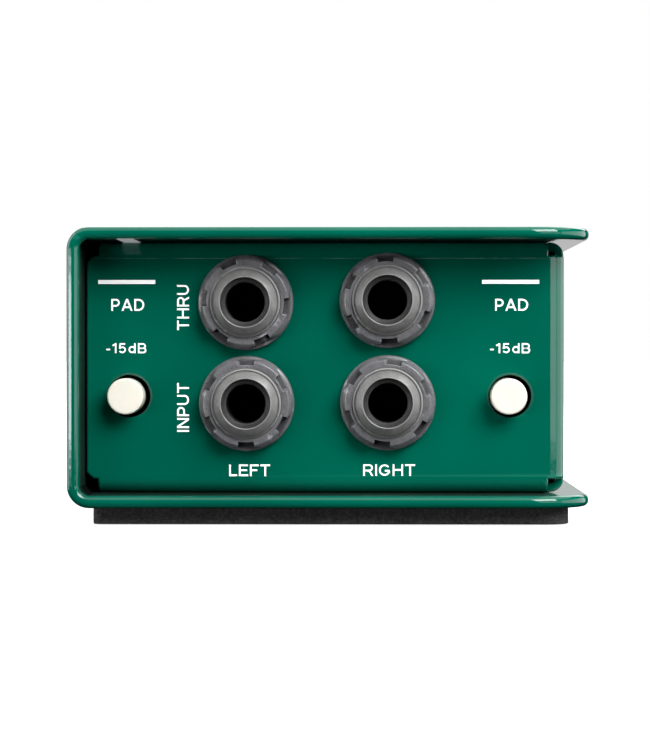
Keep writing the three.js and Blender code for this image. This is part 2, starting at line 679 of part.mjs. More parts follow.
function transformer(name, x) {
  const group = new THREE.Group();
  group.position.set(x, 0, MAIN_BOARD_Z + BOARD_T + 0.1);
  const corner = 3;
  const square = (w, r) => roundedRectangle(w, w, [r, r, r, r]);
  const inside = square(CAN_W - 2 * CAN_WALL, corner - CAN_WALL);
  const can = cut(
    prism(square(CAN_W, corner), "z", 0, CAN_H),
    prism(inside, "z", -1, CAN_H - CAN_WALL),
  );
  group.add(mesh(`${name}_can`, can, CAN_STEEL));
  // stacked iron laminations round a wound bobbin
  const laminations = cut(
    box(-8, 8, -11, 11, 3, 25),
    box(-9, 9, -8, -4, 7, 21),
    box(-9, 9, 4, 8, 7, 21),
  );
  const winding = prism(roundedRectangle(20, 14.6, [3, 3, 3, 3]), "z", 7.8, 20.2);
  group.add(mesh(`${name}_core`, union(laminations, winding), CORE_IRON));
  return group;
}

// ---- The box ------------------------------------------------------------------------------------------

const directBox = new THREE.Group();
directBox.add(mesh("outer_shell", outerShell(), PAINT));
directBox.add(mesh("inner_chassis", innerChassis(), PAINT));
directBox.add(mesh("base_pad", basePad(), FOAM));
for (const s of shellScrews) {
  const screw = mesh(s.name, countersunkScrew(), BLACK_OXIDE);
  screw.position.set(s.x, s.y, s.up ? BOX_H - 0.05 : SHELL_Z0 + 0.05);
  if (!s.up) screw.rotation.x = Math.PI;
  directBox.add(screw);
}
for (const j of jacks) directBox.add(jack(j));
for (const b of padSwitches) directBox.add(pushSwitch(b, -PANEL_Y, 0));
for (const b of liftSwitches) directBox.add(pushSwitch(b, PANEL_Y, Math.PI));
for (const c of xlrs) directBox.add(xlr(c));
directBox.add(mesh("front_board", frontBoard(), BOARD_GREEN));
directBox.add(mesh("main_board", mainBoard(), BOARD_GREEN));
directBox.add(mesh("rear_board", rearBoard(), BOARD_GREEN));
directBox.add(transformer("transformer_left", CAN_X[0]));
directBox.add(transformer("transformer_right", CAN_X[1]));

export default directBox;
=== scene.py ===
"""The looks of a stereo direct injection box: glossy green powder-coated steel, nylon jacks, ivory buttons.

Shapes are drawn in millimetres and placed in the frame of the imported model, whose jack panel faces -Y.
"""

import math

import bmesh
import bpy
from mathutils import Matrix, Vector, noise

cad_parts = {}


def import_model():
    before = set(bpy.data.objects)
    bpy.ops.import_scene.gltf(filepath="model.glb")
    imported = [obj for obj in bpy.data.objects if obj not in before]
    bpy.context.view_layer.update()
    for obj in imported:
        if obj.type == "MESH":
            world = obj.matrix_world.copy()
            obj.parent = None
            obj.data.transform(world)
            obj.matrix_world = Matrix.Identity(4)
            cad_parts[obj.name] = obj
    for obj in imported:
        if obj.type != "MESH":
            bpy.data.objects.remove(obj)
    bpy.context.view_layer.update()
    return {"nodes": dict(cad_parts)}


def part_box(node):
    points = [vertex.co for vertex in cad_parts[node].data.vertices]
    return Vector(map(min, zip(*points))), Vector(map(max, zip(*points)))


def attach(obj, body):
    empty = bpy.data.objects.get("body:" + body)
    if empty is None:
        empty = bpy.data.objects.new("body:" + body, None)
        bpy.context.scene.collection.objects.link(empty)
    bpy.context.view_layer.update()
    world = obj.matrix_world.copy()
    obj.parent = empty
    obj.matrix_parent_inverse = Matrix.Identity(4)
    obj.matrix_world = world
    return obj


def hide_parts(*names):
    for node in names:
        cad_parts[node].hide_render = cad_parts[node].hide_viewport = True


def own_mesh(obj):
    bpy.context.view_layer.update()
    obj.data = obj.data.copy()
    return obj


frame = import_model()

MM = 0.001
QUARTER = math.pi / 2
TO_METRES = Matrix.Scale(MM, 4)
TO_REAR = Matrix.Rotation(math.pi, 4, "Z")
REST_BODY = "case"
PROUD = 0.05  # clearance between pieces that rest on each other
HOLLOW_SHADE = "mouth"  # the attribute that paints shade into a jack's hollows: its mouth, its thread and the nut's slots
SHARP = math.radians(33)  # edges sharper than this are shaded as edges
BEVELLED = math.radians(28)  # edges sharper than this are rounded by a bevel


# ---- Driving dimensions, in millimetres, as in the CAD -----

SHELL_T = 2.0
SHELL_BEND_R = 3.6
SHELL_EDGE_R = 0.9
FLANGE_CORNER_R = 10.0

SHEET_T = 1.6
SHEET_EDGE_R = 0.45
SIDE_BEND_R = 2.7
LIP_BEND_R = 2.2
LIP = 12.0
SIDE_LIP = 10.0
LIP_START = 1.85
CORNER_STUB = 2.75
EDGE_CHAMFER = 1.1

JACK_HOLE_R = 6.2
BARREL_R = 5.75
THREAD_ROOT_R = BARREL_R - 0.3
MOUTH_R = 4.05
BORE_R = 3.23
JACK_BODY = 15.6
JACK_FRONT = -4.7
JACK_BACK = 27.5
CONTACT_ROLL = math.radians(-10)

BUTTON_HOLE_R = 3.45
BUTTON_HOLE_OFFSET = 0.33  # the front switches sit a little left in their holes

XLR_HOLE_R = 11.9
XLR_SCREW_X = 9.5
XLR_SCREW_Z = 12.0

TAPPED_R = 1.6
SHELL_SCREW_Y = 46.5
SCREW_HEAD_R = 2.9
SCREW_HEAD_H = 1.5
SCREW_HOLE_R = 1.75
SCREW_PLAY = 0.15
THREAD_R = 1.42


# ---- Places read from the frame ----------------------------

def corners(node):
    """A CAD node's lowest and highest corners, in millimetres."""
    low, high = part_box(node)
    return low / MM, high / MM


def middle(node):
    low, high = corners(node)
    return (low + high) / 2


JACKS = ["thru_left", "input_left", "thru_right", "input_right"]
PAD_SWITCHES = ["pad_left", "pad_right"]
LIFT_SWITCHES = ["lift_left", "lift_right"]
XLRS = ["xlr_left", "xlr_right"]
SHELL_SCREWS = sorted(n for n in frame["nodes"] if n.startswith("shell_screw"))

shell_low, shell_high = corners("outer_shell")
chassis_low, chassis_high = corners("inner_chassis")
PANEL_Y = chassis_high.y


# ---- Mesh helpers ------------------------------------------

def link(obj):
    bpy.context.scene.collection.objects.link(obj)
    return obj


def mesh_from(bm, name):
    mesh = bpy.data.meshes.new(name)
    bm.to_mesh(mesh)
    bm.free()
    return mesh


def skin(bm, loops, closed=True):
    """Faces between each loop of vertices and the next one; a closed loop joins its ends."""
    for here, there in zip(loops, loops[1:]):
        for k in range(len(here) if closed else len(here) - 1):
            n = (k + 1) % len(here)
            bm.faces.new((here[k], here[n], there[n], there[k]))


def closed_mesh(bm, name):
    """Turns every face outwards and makes the mesh."""
    bmesh.ops.recalc_face_normals(bm, faces=bm.faces)
    return mesh_from(bm, name)


def welded_mesh(bm, name, distance=1e-4):
    """Welds what coincides, drops what has no area and makes the mesh."""
    bmesh.ops.remove_doubles(bm, verts=bm.verts, dist=distance)
    bmesh.ops.dissolve_degenerate(bm, edges=bm.edges, dist=distance)
    return closed_mesh(bm, name)


def lathe(name, profile, segments=64):
    """A closed solid turned about Y from [radius, y] pairs; a profile off the axis closes on itself."""
    bm = bmesh.new()
    rings = []
    for step in range(segments):
        a = 2 * math.pi * step / segments
        rings.append([bm.verts.new((r * math.cos(a), y, r * math.sin(a))) for r, y in profile])
    skin(bm, [*rings, rings[0]], closed=profile[0][0] > 0 and profile[-1][0] > 0)
    return welded_mesh(bm, name)


def block(name, low, high, edge=0.0):
    """A rectangular block between two corners, whose edges may be rounded."""
    bm = bmesh.new()
    bmesh.ops.create_cube(bm, size=1.0)
    size = Vector(high) - Vector(low)
    centre = (Vector(high) + Vector(low)) / 2
    bmesh.ops.transform(bm, verts=bm.verts, matrix=Matrix.Translation(centre) @ Matrix.Diagonal((*size, 1)))
    if edge:
        bmesh.ops.bevel(bm, geom=bm.edges, offset=edge, segments=2, profile=0.5, affect="EDGES")
    return mesh_from(bm, name)


def polar(r, angle, x=0.0, y=0.0):
    return (x + r * math.cos(angle), y + r * math.sin(angle))


def arc(r, x, y, start, sweep, count):
    return [polar(r, start + sweep * k / count, x, y) for k in range(count + 1)]


def round_hole(r, x=0.0, y=0.0, count=48):
    """A circle's points, clockwise as plate() wants its holes."""
    return arc(r, x, y, 0, -2 * math.pi, count)[:-1]


def rounded_rectangle(w, h, radii, count=10):
    """Points round a rectangle about the origin, anticlockwise from its lower left corner."""
    points = []
    for i, (sx, sy) in enumerate([(-1, -1), (1, -1), (1, 1), (-1, 1)]):
        r = radii[i]
        points += arc(r, sx * (w / 2 - r), sy * (h / 2 - r), math.pi + i * QUARTER, QUARTER, count)
    return points


def plate(name, outline, holes, thickness, edge, steps=3):
    """A flat plate in XY, centred on z = 0, with round edges. Holes run clockwise."""
    curve = bpy.data.curves.new(name, "CURVE")
    curve.dimensions = "2D"
    curve.fill_mode = "BOTH"
    for loop in [outline, *holes]:
        spline = curve.splines.new("POLY")
        spline.points.add(len(loop) - 1)
        for point, (x, y) in zip(spline.points, loop):
            point.co = (x, y, 0, 1)
        spline.use_cyclic_u = True
    curve.extrude = thickness / 2 - edge
    curve.bevel_depth = edge
    curve.bevel_resolution = steps
    curve.offset = -edge
    obj = link(bpy.data.objects.new(name, curve))
    bpy.context.view_layer.update()
    mesh = bpy.data.meshes.new_from_object(obj.evaluated_get(bpy.context.evaluated_depsgraph_get()))
    bpy.data.objects.remove(obj)
    bm = bmesh.new()
    bm.from_mesh(mesh)
    return welded_mesh(bm, name, 1e-3)


def slice_across(mesh, axis, positions):
    """Cuts a mesh's faces along planes across an axis, so that it can bend there."""
    bm = bmesh.new()
    bm.from_mesh(mesh)
    normal = Vector((0, 0, 0))
    normal[axis] = 1
    for p in positions:
        geom = bm.verts[:] + bm.edges[:] + bm.faces[:]
        bmesh.ops.bisect_plane(bm, geom=geom, dist=1e-5, plane_co=normal * p, plane_no=normal)
    bm.to_mesh(mesh)
    bm.free()


def fold(mesh, axis, at, sign, radius, steps=10):
    """Bends everything past a line through a right angle towards +z.

    axis is 0 or 1, at is where the bend starts along it, sign is the side that moves, and radius is the
    bend's radius at the sheet's middle.
    """
    length = QUARTER * radius
    slice_across(mesh, axis, [at + sign * length * k / steps for k in range(steps + 1)])
    for v in mesh.vertices:
        past = (v.co[axis] - at) * sign
        if past <= 0:
            continue
        arm = radius - v.co.z
        turn = min(past, length) / radius
        v.co[axis] = at + sign * arm * math.sin(turn)
        v.co.z = radius - arm * math.cos(turn) + max(past - length, 0)


def combine(name, base, *changes):
    """Applies boolean changes to a mesh, each as (operation, mesh), and removes the meshes used."""
    obj = link(bpy.data.objects.new(name, base))
    tools = []
    for operation, mesh in changes:
        tool = link(bpy.data.objects.new(name + "_tool", mesh))
        tools.append(tool)
        modifier = obj.modifiers.new("cut", "BOOLEAN")
        modifier.operation = operation
        modifier.solver = "EXACT"
        modifier.object = tool
    bpy.context.view_layer.update()
    made = bpy.data.meshes.new_from_object(obj.evaluated_get(bpy.context.evaluated_depsgraph_get()))
    for used in [obj, *tools]:
        bpy.data.objects.remove(used)
    bm = bmesh.new()
    bm.from_mesh(made)
    return welded_mesh(bm, name)


def place(name, mesh, material, where=Matrix.Identity(4), body=REST_BODY, node=None, bevel=0.0):
    """Puts a mesh drawn in millimetres into the frame as a piece that may stand for a CAD node."""
    mesh = mesh.copy()
    mesh.name = name
    mesh.transform(TO_METRES @ where)
    mesh.materials.clear()
    mesh.materials.append(material)
    mesh.shade_smooth()
    if not bevel:
        mesh.set_sharp_from_angle(angle=SHARP)
    obj = link(bpy.data.objects.new(name, mesh))
    finish_edges(obj, bevel)
    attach(obj, body)
    if node:
        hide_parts(node)
    return obj


def finish_edges(obj, bevel):
    """Rounds sharp edges by a bevel in millimetres, and lets the flat faces lead the shading."""
    if bevel:
        modifier = obj.modifiers.new("edge", "BEVEL")
        modifier.width = bevel * MM
        modifier.segments = 2
        modifier.limit_method = "ANGLE"
        modifier.angle_limit = BEVELLED
    weighted = obj.modifiers.new("normals", "WEIGHTED_NORMAL")
    weighted.keep_sharp = True


# ---- Materials ---------------------------------------------

class Graph:
    """The nodes of a new material, or of a new world, under construction."""

    def __init__(self, name, kind="materials", shader="Principled BSDF", coordinates="Object"):
        self.made = getattr(bpy.data, kind).new(name)
        self.made.use_nodes = True
        self.tree = self.made.node_tree
        self.shader = self.tree.nodes[shader]
        self.where = self.add("ShaderNodeTexCoord").outputs[coordinates]

    def axis(self, name):
        """The place along X, Y or Z, in metres, or in a world the way that a ray goes."""
        parts = self.add("ShaderNodeSeparateXYZ")
        self.join(self.where, parts.inputs[0])
        return parts.outputs[name]

    def add(self, kind, **values):
        node = self.tree.nodes.new(kind)
        for key, value in values.items():
            setattr(node, key, value)
        return node

    def join(self, source, target):
        if hasattr(source, "links"):
            self.tree.links.new(source, target)
        else:
            target.default_value = source

    def set(self, **values):
        """Sets the shader's inputs, named with underscores for spaces."""
        for key, value in values.items():
            self.join(value, self.shader.inputs[key.replace("_", " ")])

    def present(self, name):
        """What feeds one of the shader's inputs so far."""
        return self.shader.inputs[name].links[0].from_socket

    def noise(self, scale, detail=3.0, rough=0.55, stretch=(1, 1, 1)):
        """Noise whose features are about 1 / scale millimetres across."""
        mapping = self.add("ShaderNodeMapping")
        self.join(self.where, mapping.inputs["Vector"])
        mapping.inputs["Scale"].default_value = stretch
        node = self.add("ShaderNodeTexNoise")
        self.join(mapping.outputs[0], node.inputs["Vector"])
        node.inputs["Scale"].default_value = scale / MM
        node.inputs["Detail"].default_value = detail
        node.inputs["Roughness"].default_value = rough
        return node.outputs["Fac"]

    def spots(self, scale):
        """Distance to the middles of scattered cells about 1 / scale millimetres apart."""
        node = self.add("ShaderNodeTexVoronoi")
        self.join(self.where, node.inputs["Vector"])
        node.inputs["Scale"].default_value = scale / MM
        return node.outputs["Distance"]

    def ramp(self, source, low, high, out_low=0.0, out_high=1.0):
        node = self.add("ShaderNodeMapRange")
        names = ("Value", "From Min", "From Max", "To Min", "To Max")
        for name, value in zip(names, (source, low, high, out_low, out_high)):
            self.join(value, node.inputs[name])
        return node.outputs["Result"]

    def spread(self, noise, low, high):
        """Noise, which lies mostly between 0.3 and 0.7, as values from low to high."""
        return self.ramp(noise, 0.3, 0.7, low, high)

    def blend(self, factor, first, second):
        node = self.add("ShaderNodeMix", data_type="RGBA")
        self.join(factor, node.inputs["Factor"])
        self.join(first, node.inputs["A"])
        self.join(second, node.inputs["B"])
        return node.outputs["Result"]

    def maths(self, operation, first, second=0.0):
        node = self.add("ShaderNodeMath", operation=operation)
        self.join(first, node.inputs[0])
        self.join(second, node.inputs[1])
        return node.outputs[0]

    def times(self, first, second):
        return self.maths("MULTIPLY", first, second)

    def edges(self, low=0.52, high=0.62):
        """1 on outside edges, 0 on flat faces."""
        geometry = self.add("ShaderNodeNewGeometry")
        return self.ramp(geometry.outputs["Pointiness"], low, high)

    def bump(self, *layers):
        """Stacks (height, depth in millimetres) layers into the shader's normal."""
        normal = None
        for height, depth in layers:
            node = self.add("ShaderNodeBump")
            node.inputs["Strength"].default_value = 1.0
            node.inputs["Distance"].default_value = depth * MM
            self.join(height, node.inputs["Height"])
            if normal:
                self.join(normal, node.inputs["Normal"])
            normal = node.outputs["Normal"]
        self.join(normal, self.shader.inputs["Normal"])


def colour(r, g, b):
    return (r, g, b, 1.0)


def shade(base, factor):
    """A colour made darker or brighter."""
    return colour(*[min(c * factor, 1) for c in base])


def powder_coat(name, base, bright):
    """Glossy green powder coat: orange peel, a little cloudiness and thin paint along the edges."""
    g = Graph(name)
    cloud = g.noise(0.035, 2.0)
    edge = g.edges(0.6, 0.75)
    tint = g.blend(g.ramp(cloud, 0.35, 0.65), colour(*base), colour(*bright))
    g.set(Base_Color=g.blend(g.times(edge, 0.25), tint, colour(0.03, 0.22, 0.16)))
    g.set(Roughness=g.spread(g.noise(0.5, 4.0), 0.05, 0.09), Specular_IOR_Level=0.5)
    g.bump((g.noise(0.45, 2.0), 0.013), (g.noise(4.0, 2.0), 0.002))
    return g


def thin_paint_and_recess_shade(g):
    """The shell's inner faces got little paint: thin and rough near the rim. They also carry painted shade:
    dark near the rim, then near black deeper into the recess.
    """
    start = SHELL_T - 0.08  # just under the inner faces
    full = start + 0.1
    right_of_wall = g.ramp(g.axis("X"), (shell_low.x + start) * MM, (shell_low.x + full) * MM)
    above = g.ramp(g.axis("Z"), (shell_low.z + start) * MM, (shell_low.z + full) * MM)
    below = g.ramp(g.axis("Z"), (shell_high.z - start) * MM, (shell_high.z - full) * MM)
    # towards the open side of the shell the paint is whole again, without painted shade
    covered = g.ramp(g.axis("X"), (chassis_high.x - 4) * MM, (chassis_high.x - 2) * MM, 1.0, 0.0)
    inside = g.maths("MINIMUM", g.maths("MINIMUM", right_of_wall, covered), g.maths("MINIMUM", above, below))
    rim = g.maths("SUBTRACT", shell_high.y * MM, g.maths("ABSOLUTE", g.axis("Y")))
    ragged = g.maths("ADD", rim, g.spread(g.noise(1.1, 4.0, 0.7), -1.2 * MM, 1.2 * MM))
    thin = g.times(inside, g.ramp(rim, 0.5 * MM, 1.0 * MM))
    recess_shade = g.times(inside, g.ramp(ragged, 1.5 * MM, 4.5 * MM))
    grit = g.ramp(g.noise(2.6, 4.0, 0.7), 0.42, 0.72)
    paint = g.present("Base Color")
    rough = g.present("Roughness")
    # painted shade: near the rim the thin paint is darkened towards a gritty, near black green
    gritty_shade = g.blend(grit, colour(0.0005, 0.011, 0.007), colour(0.016, 0.045, 0.03))
    worn = g.blend(g.times(thin, 0.8), paint, gritty_shade)
    # painted shade: deeper into the recess the inner faces go near black
    g.set(Base_Color=g.blend(recess_shade, worn, colour(0.003, 0.005, 0.0045)))
    g.set(Roughness=g.maths("MAXIMUM", rough, g.times(thin, 0.75)))
    g.set(Specular_IOR_Level=g.ramp(thin, 0.0, 1.0, 0.5, 0.0))
    return g


def painted_glint_patch(g, x, low, high):
    """A bare patch near the front left screw, between two heights, where shell and chassis touch: its pale
    colour and slight glow paint in a glint.
    """
    aside = g.maths("ABSOLUTE", g.maths("SUBTRACT", g.axis("X"), x * MM))
    ragged = g.maths("ADD", aside, g.spread(g.noise(1.5), 0.0, 0.3 * MM))
    across = g.ramp(ragged, 1.4 * MM, 1.7 * MM, 1.0, 0.0)
    below = g.ramp(g.axis("Z"), high * MM, (high + 0.15) * MM, 1.0, 0.0)
    above = g.ramp(g.axis("Z"), (low - 0.15) * MM, low * MM)
    front = g.maths("LESS_THAN", g.axis("Y"), -SHELL_SCREW_Y * MM)
    mark = g.times(g.times(across, below), g.times(above, front))
    paint = g.present("Base Color")
    glint_pale = colour(0.75, 0.73, 0.76)
    g.set(Base_Color=g.blend(mark, paint, glint_pale))
    # painted glint: the pale patch glows a little, though it is no lamp
    g.set(Emission_Color=glint_pale, Emission_Strength=g.times(mark, 0.3))
    return g


def painted_bend_highlight(g):
    """A faint pale line along the front panel's top edge, on the crease that the bending press left: the
    light that the crease catches, painted in as a paler green.
    """
    height = (chassis_high.z - LIP_BEND_R - 0.5) * MM
    off = g.maths("ABSOLUTE", g.maths("SUBTRACT", g.axis("Z"), height))
    line = g.ramp(off, 0.05 * MM, 0.14 * MM, 1.0, 0.0)
    front = g.maths("LESS_THAN", g.axis("Y"), (-PANEL_Y + 0.3) * MM)
    broken = g.ramp(g.noise(0.22, 5.0, 0.7), 0.38, 0.62, 0.01, 0.32)
    mark = g.times(g.times(line, front), broken)
    paint = g.present("Base Color")
    # painted highlight: a broken pale green line
    g.set(Base_Color=g.blend(mark, paint, colour(0.18, 0.34, 0.31)))
    return g


def legend_ink():
    """White screen-printed ink, slightly worn, which glows a little as painted light."""
    g = Graph("legend_ink")
    worn = g.ramp(g.noise(2.5, 3.0), 0.3, 0.7)
    g.set(Base_Color=g.blend(worn, colour(0.93, 0.94, 0.92), colour(0.97, 0.97, 0.96)))
    g.set(Roughness=g.spread(g.noise(3.0), 0.45, 0.6))
    # painted light: the ink glows a little, so that it stays white in the shade of the flange
    g.set(Emission_Color=colour(1, 1, 1), Emission_Strength=0.3)
    g.bump((g.noise(6.0), 0.004))
    return g.made


def foam_rubber():
    """Black closed-cell rubber: open grain, dust in the pores, paler crumbs."""
    g = Graph("foam_rubber")
    grain = g.noise(2.2, 5.0, 0.7)
    crumb = g.ramp(g.spots(1.6), 0.10, 0.22, 1.0, 0.0)
    base = g.blend(g.ramp(grain, 0.35, 0.7), colour(0.009, 0.009, 0.009), colour(0.05, 0.05, 0.049))
    g.set(Base_Color=g.blend(g.times(crumb, 0.3), base, colour(0.11, 0.11, 0.105)))
    g.set(Roughness=g.spread(grain, 0.8, 0.95), Specular_IOR_Level=0.3)
    g.bump((grain, 0.22), (g.noise(7.0, 3.0), 0.05), (crumb, 0.08))
    return g.made


def nylon(name, base, bright, rough):
    """Glass-filled nylon: sandy fibre speckle, moulded grain, painted highlights along the edges and painted
    shade in the hollows.
    """
    g = Graph(name)
    fibre = g.noise(6.0, 4.0, 0.7)
    sandy = g.maths("ADD", g.times(fibre, 0.65), g.times(g.noise(0.8, 3.0), 0.35))
    tint = g.blend(g.ramp(sandy, 0.38, 0.6), colour(*base), colour(*bright))
    hollow_shade = g.add("ShaderNodeAttribute", attribute_name=HOLLOW_SHADE).outputs["Fac"]
    # painted shade: the hollows are darkened
    tint = g.blend(hollow_shade, tint, shade(base, 0.25))
    fleck = g.ramp(g.spots(3.5), 0.08, 0.16, 1.0, 0.0)
    tint = g.blend(g.times(fleck, 0.35), tint, shade(bright, 2.2))
    # painted highlight: the edges are made paler, for the light that their glossy rounding catches
    g.set(Base_Color=g.blend(g.times(g.edges(), 0.7), tint, shade(bright, 2.6)))
    g.set(Roughness=g.spread(fibre, rough - 0.06, rough + 0.08))
    g.set(Specular_IOR_Level=g.ramp(hollow_shade, 0.0, 1.0, 0.72, 0.2))
    g.bump((fibre, 0.012), (g.noise(1.6, 3.0), 0.03))
    return g.made


def ivory():
    """Slightly translucent ivory plastic."""
    g = Graph("ivory_button")
    cloud = g.noise(0.4, 2.0)
    g.set(Base_Color=g.blend(cloud, colour(0.685, 0.665, 0.58), colour(0.725, 0.7, 0.615)))
    g.set(Roughness=g.spread(g.noise(2.0), 0.32, 0.42), Subsurface_Weight=0.12, Subsurface_Scale=0.8 * MM)
    g.bump((g.noise(3.0, 3.0), 0.004))
    return g.made


def metal(name, base, rough, grain=(1, 1, 1), dark=0.6):
    """Bare or plated metal with drawn grain, duller patches and bright edges."""
    g = Graph(name)
    patch = g.noise(0.5, 3.0)
    lines = g.noise(2.0, 4.0, 0.6, grain)
    tint = g.blend(g.ramp(patch, 0.35, 0.7), colour(*base), shade(base, dark))
    g.set(Base_Color=g.blend(g.times(g.edges(), 0.4), tint, shade(base, 1.3)))
    g.set(Metallic=1.0, Roughness=g.spread(lines, rough - 0.06, rough + 0.1))
    g.bump((lines, 0.006))
    return g.made


def moulded(name, base, rough=0.45):
    """Plain moulded plastic with a spark-eroded grain."""
    g = Graph(name)
    grain = g.noise(5.0, 2.0)
    tint = g.blend(g.noise(0.6), shade(base, 0.8), shade(base, 1.2))
    g.set(Base_Color=g.blend(g.times(g.edges(), 0.3), tint, shade(base, 2.5)))
    g.set(Roughness=g.spread(grain, rough - 0.05, rough + 0.1))
    g.bump((grain, 0.01))
    return g.made


def circuit_board():
    """Green solder mask over copper tracks, with tinned pads."""
    g = Graph("circuit_board")
    bricks = g.add("ShaderNodeTexBrick")
    g.join(g.where, bricks.inputs["Vector"])
    bricks.inputs["Scale"].default_value = 0.12 / MM
    track = g.ramp(bricks.outputs["Fac"], 0.4, 0.6)
    mask = g.blend(track, colour(0.01, 0.07, 0.025), colour(0.02, 0.14, 0.05))
    pad = g.ramp(g.spots(0.35), 0.10, 0.13, 1.0, 0.0)
    g.set(Base_Color=g.blend(pad, mask, colour(0.6, 0.6, 0.58)))
    g.set(Metallic=pad, Roughness=g.spread(g.noise(2.0), 0.3, 0.42))
    g.bump((track, 0.02), (pad, 0.03))
    return g.made


GREEN_LOW = (0.0, 0.080, 0.051)
GREEN_HIGH = (0.0, 0.103, 0.065)

shell_green = thin_paint_and_recess_shade(powder_coat("shell_paint", GREEN_LOW, GREEN_HIGH))
# the painted glint sits just right of the front left screw
glint_x = middle("shell_screw_top_front_left").x + 0.45
shell_inside = shell_high.z - SHELL_T
shell_paint = painted_glint_patch(shell_green, glint_x, shell_inside - 0.1, shell_inside).made
chassis_paint = painted_bend_highlight(powder_coat("chassis_paint", GREEN_LOW, GREEN_HIGH)).made
ink = legend_ink()
rubber = foam_rubber()
nut_nylon = nylon("nut_nylon", (0.07, 0.07, 0.076), (0.125, 0.125, 0.133), 0.3)
barrel_nylon = nylon("barrel_nylon", (0.088, 0.088, 0.087), (0.165, 0.165, 0.162), 0.36)
button_plastic = ivory()
contact_metal = metal("contact_metal", (0.62, 0.53, 0.38), 0.3, (1, 12, 1))
spring_wire = metal("spring_wire", (0.55, 0.56, 0.58), 0.25)
black_screw = metal("black_screw", (0.05, 0.05, 0.055), 0.35)
silver = metal("silver_plate", (0.75, 0.74, 0.72), 0.2)
can_metal = metal("can_metal", (0.6, 0.61, 0.62), 0.32, (1, 1, 10))
core_metal = metal("core_metal", (0.2, 0.19, 0.18), 0.5, (1, 1, 40), 0.4)
switch_plastic = moulded("switch_plastic", (0.02, 0.02, 0.022))
connector_coat = moulded("connector_coat", (0.018, 0.018, 0.02), 0.38)
board = circuit_board()


# ---- Outer shell -------------------------------------------

def into_case(up):
    """Turns what points along +y so that it points down into the top, or up into the bottom."""
    return Matrix.Rotation(-QUARTER if up else QUARTER, 4, "X")


def screw_cutter():
    """The space for a shell screw: a countersink and a clearance hole."""
    sink_r = SCREW_HEAD_R + SCREW_PLAY
    hole = [(0, 5), (SCREW_HOLE_R, 5), (SCREW_HOLE_R, SCREW_HEAD_H + SCREW_PLAY)]
    return lathe("screw_space", hole + [(sink_r, 0), (sink_r, -1), (0, -1)], 32)


def outer_shell():
    """A flat blank with two bends between the bottom flange, the side wall and the top flange."""
    middle_r = SHELL_BEND_R - SHELL_T / 2
    flange = shell_high.x - shell_low.x - SHELL_BEND_R
    wall = shell_high.z - shell_low.z - 2 * SHELL_BEND_R
    bend = QUARTER * middle_r
    width = 2 * flange + 2 * bend + wall
    length = shell_high.y - shell_low.y
    outline = rounded_rectangle(width, length, [FLANGE_CORNER_R] * 4, 16)
    blank = plate("outer_shell_blank", outline, [], SHELL_T, SHELL_EDGE_R, 4)
    fold(blank, 0, -wall / 2, -1, middle_r, 14)
    fold(blank, 0, wall / 2, 1, middle_r, 14)
    # the wall lies in XY with its flanges towards +z: stand it up with the flanges towards +X
    stand = Matrix(((0, 0, 1, 0), (0, 1, 0, 0), (1, 0, 0, 0), (0, 0, 0, 1)))
    blank.transform(stand)
    centre = (shell_low + shell_high) / 2
    blank.transform(Matrix.Translation((shell_low.x + SHELL_T / 2, centre.y, centre.z)))
    blank.flip_normals()
    cuts = []
    for n in SHELL_SCREWS:
        at, up = middle(n), "top" in n
        seat = Matrix.Translation((at.x, at.y, shell_high.z if up else shell_low.z))
        cutter = screw_cutter()
        cutter.transform(seat @ into_case(up))
        cuts.append(("DIFFERENCE", cutter))
    return combine("outer_shell_visual", blank, *cuts)


place("shell", outer_shell(), shell_paint, node="outer_shell")


# ---- Inner chassis -----------------------------------------

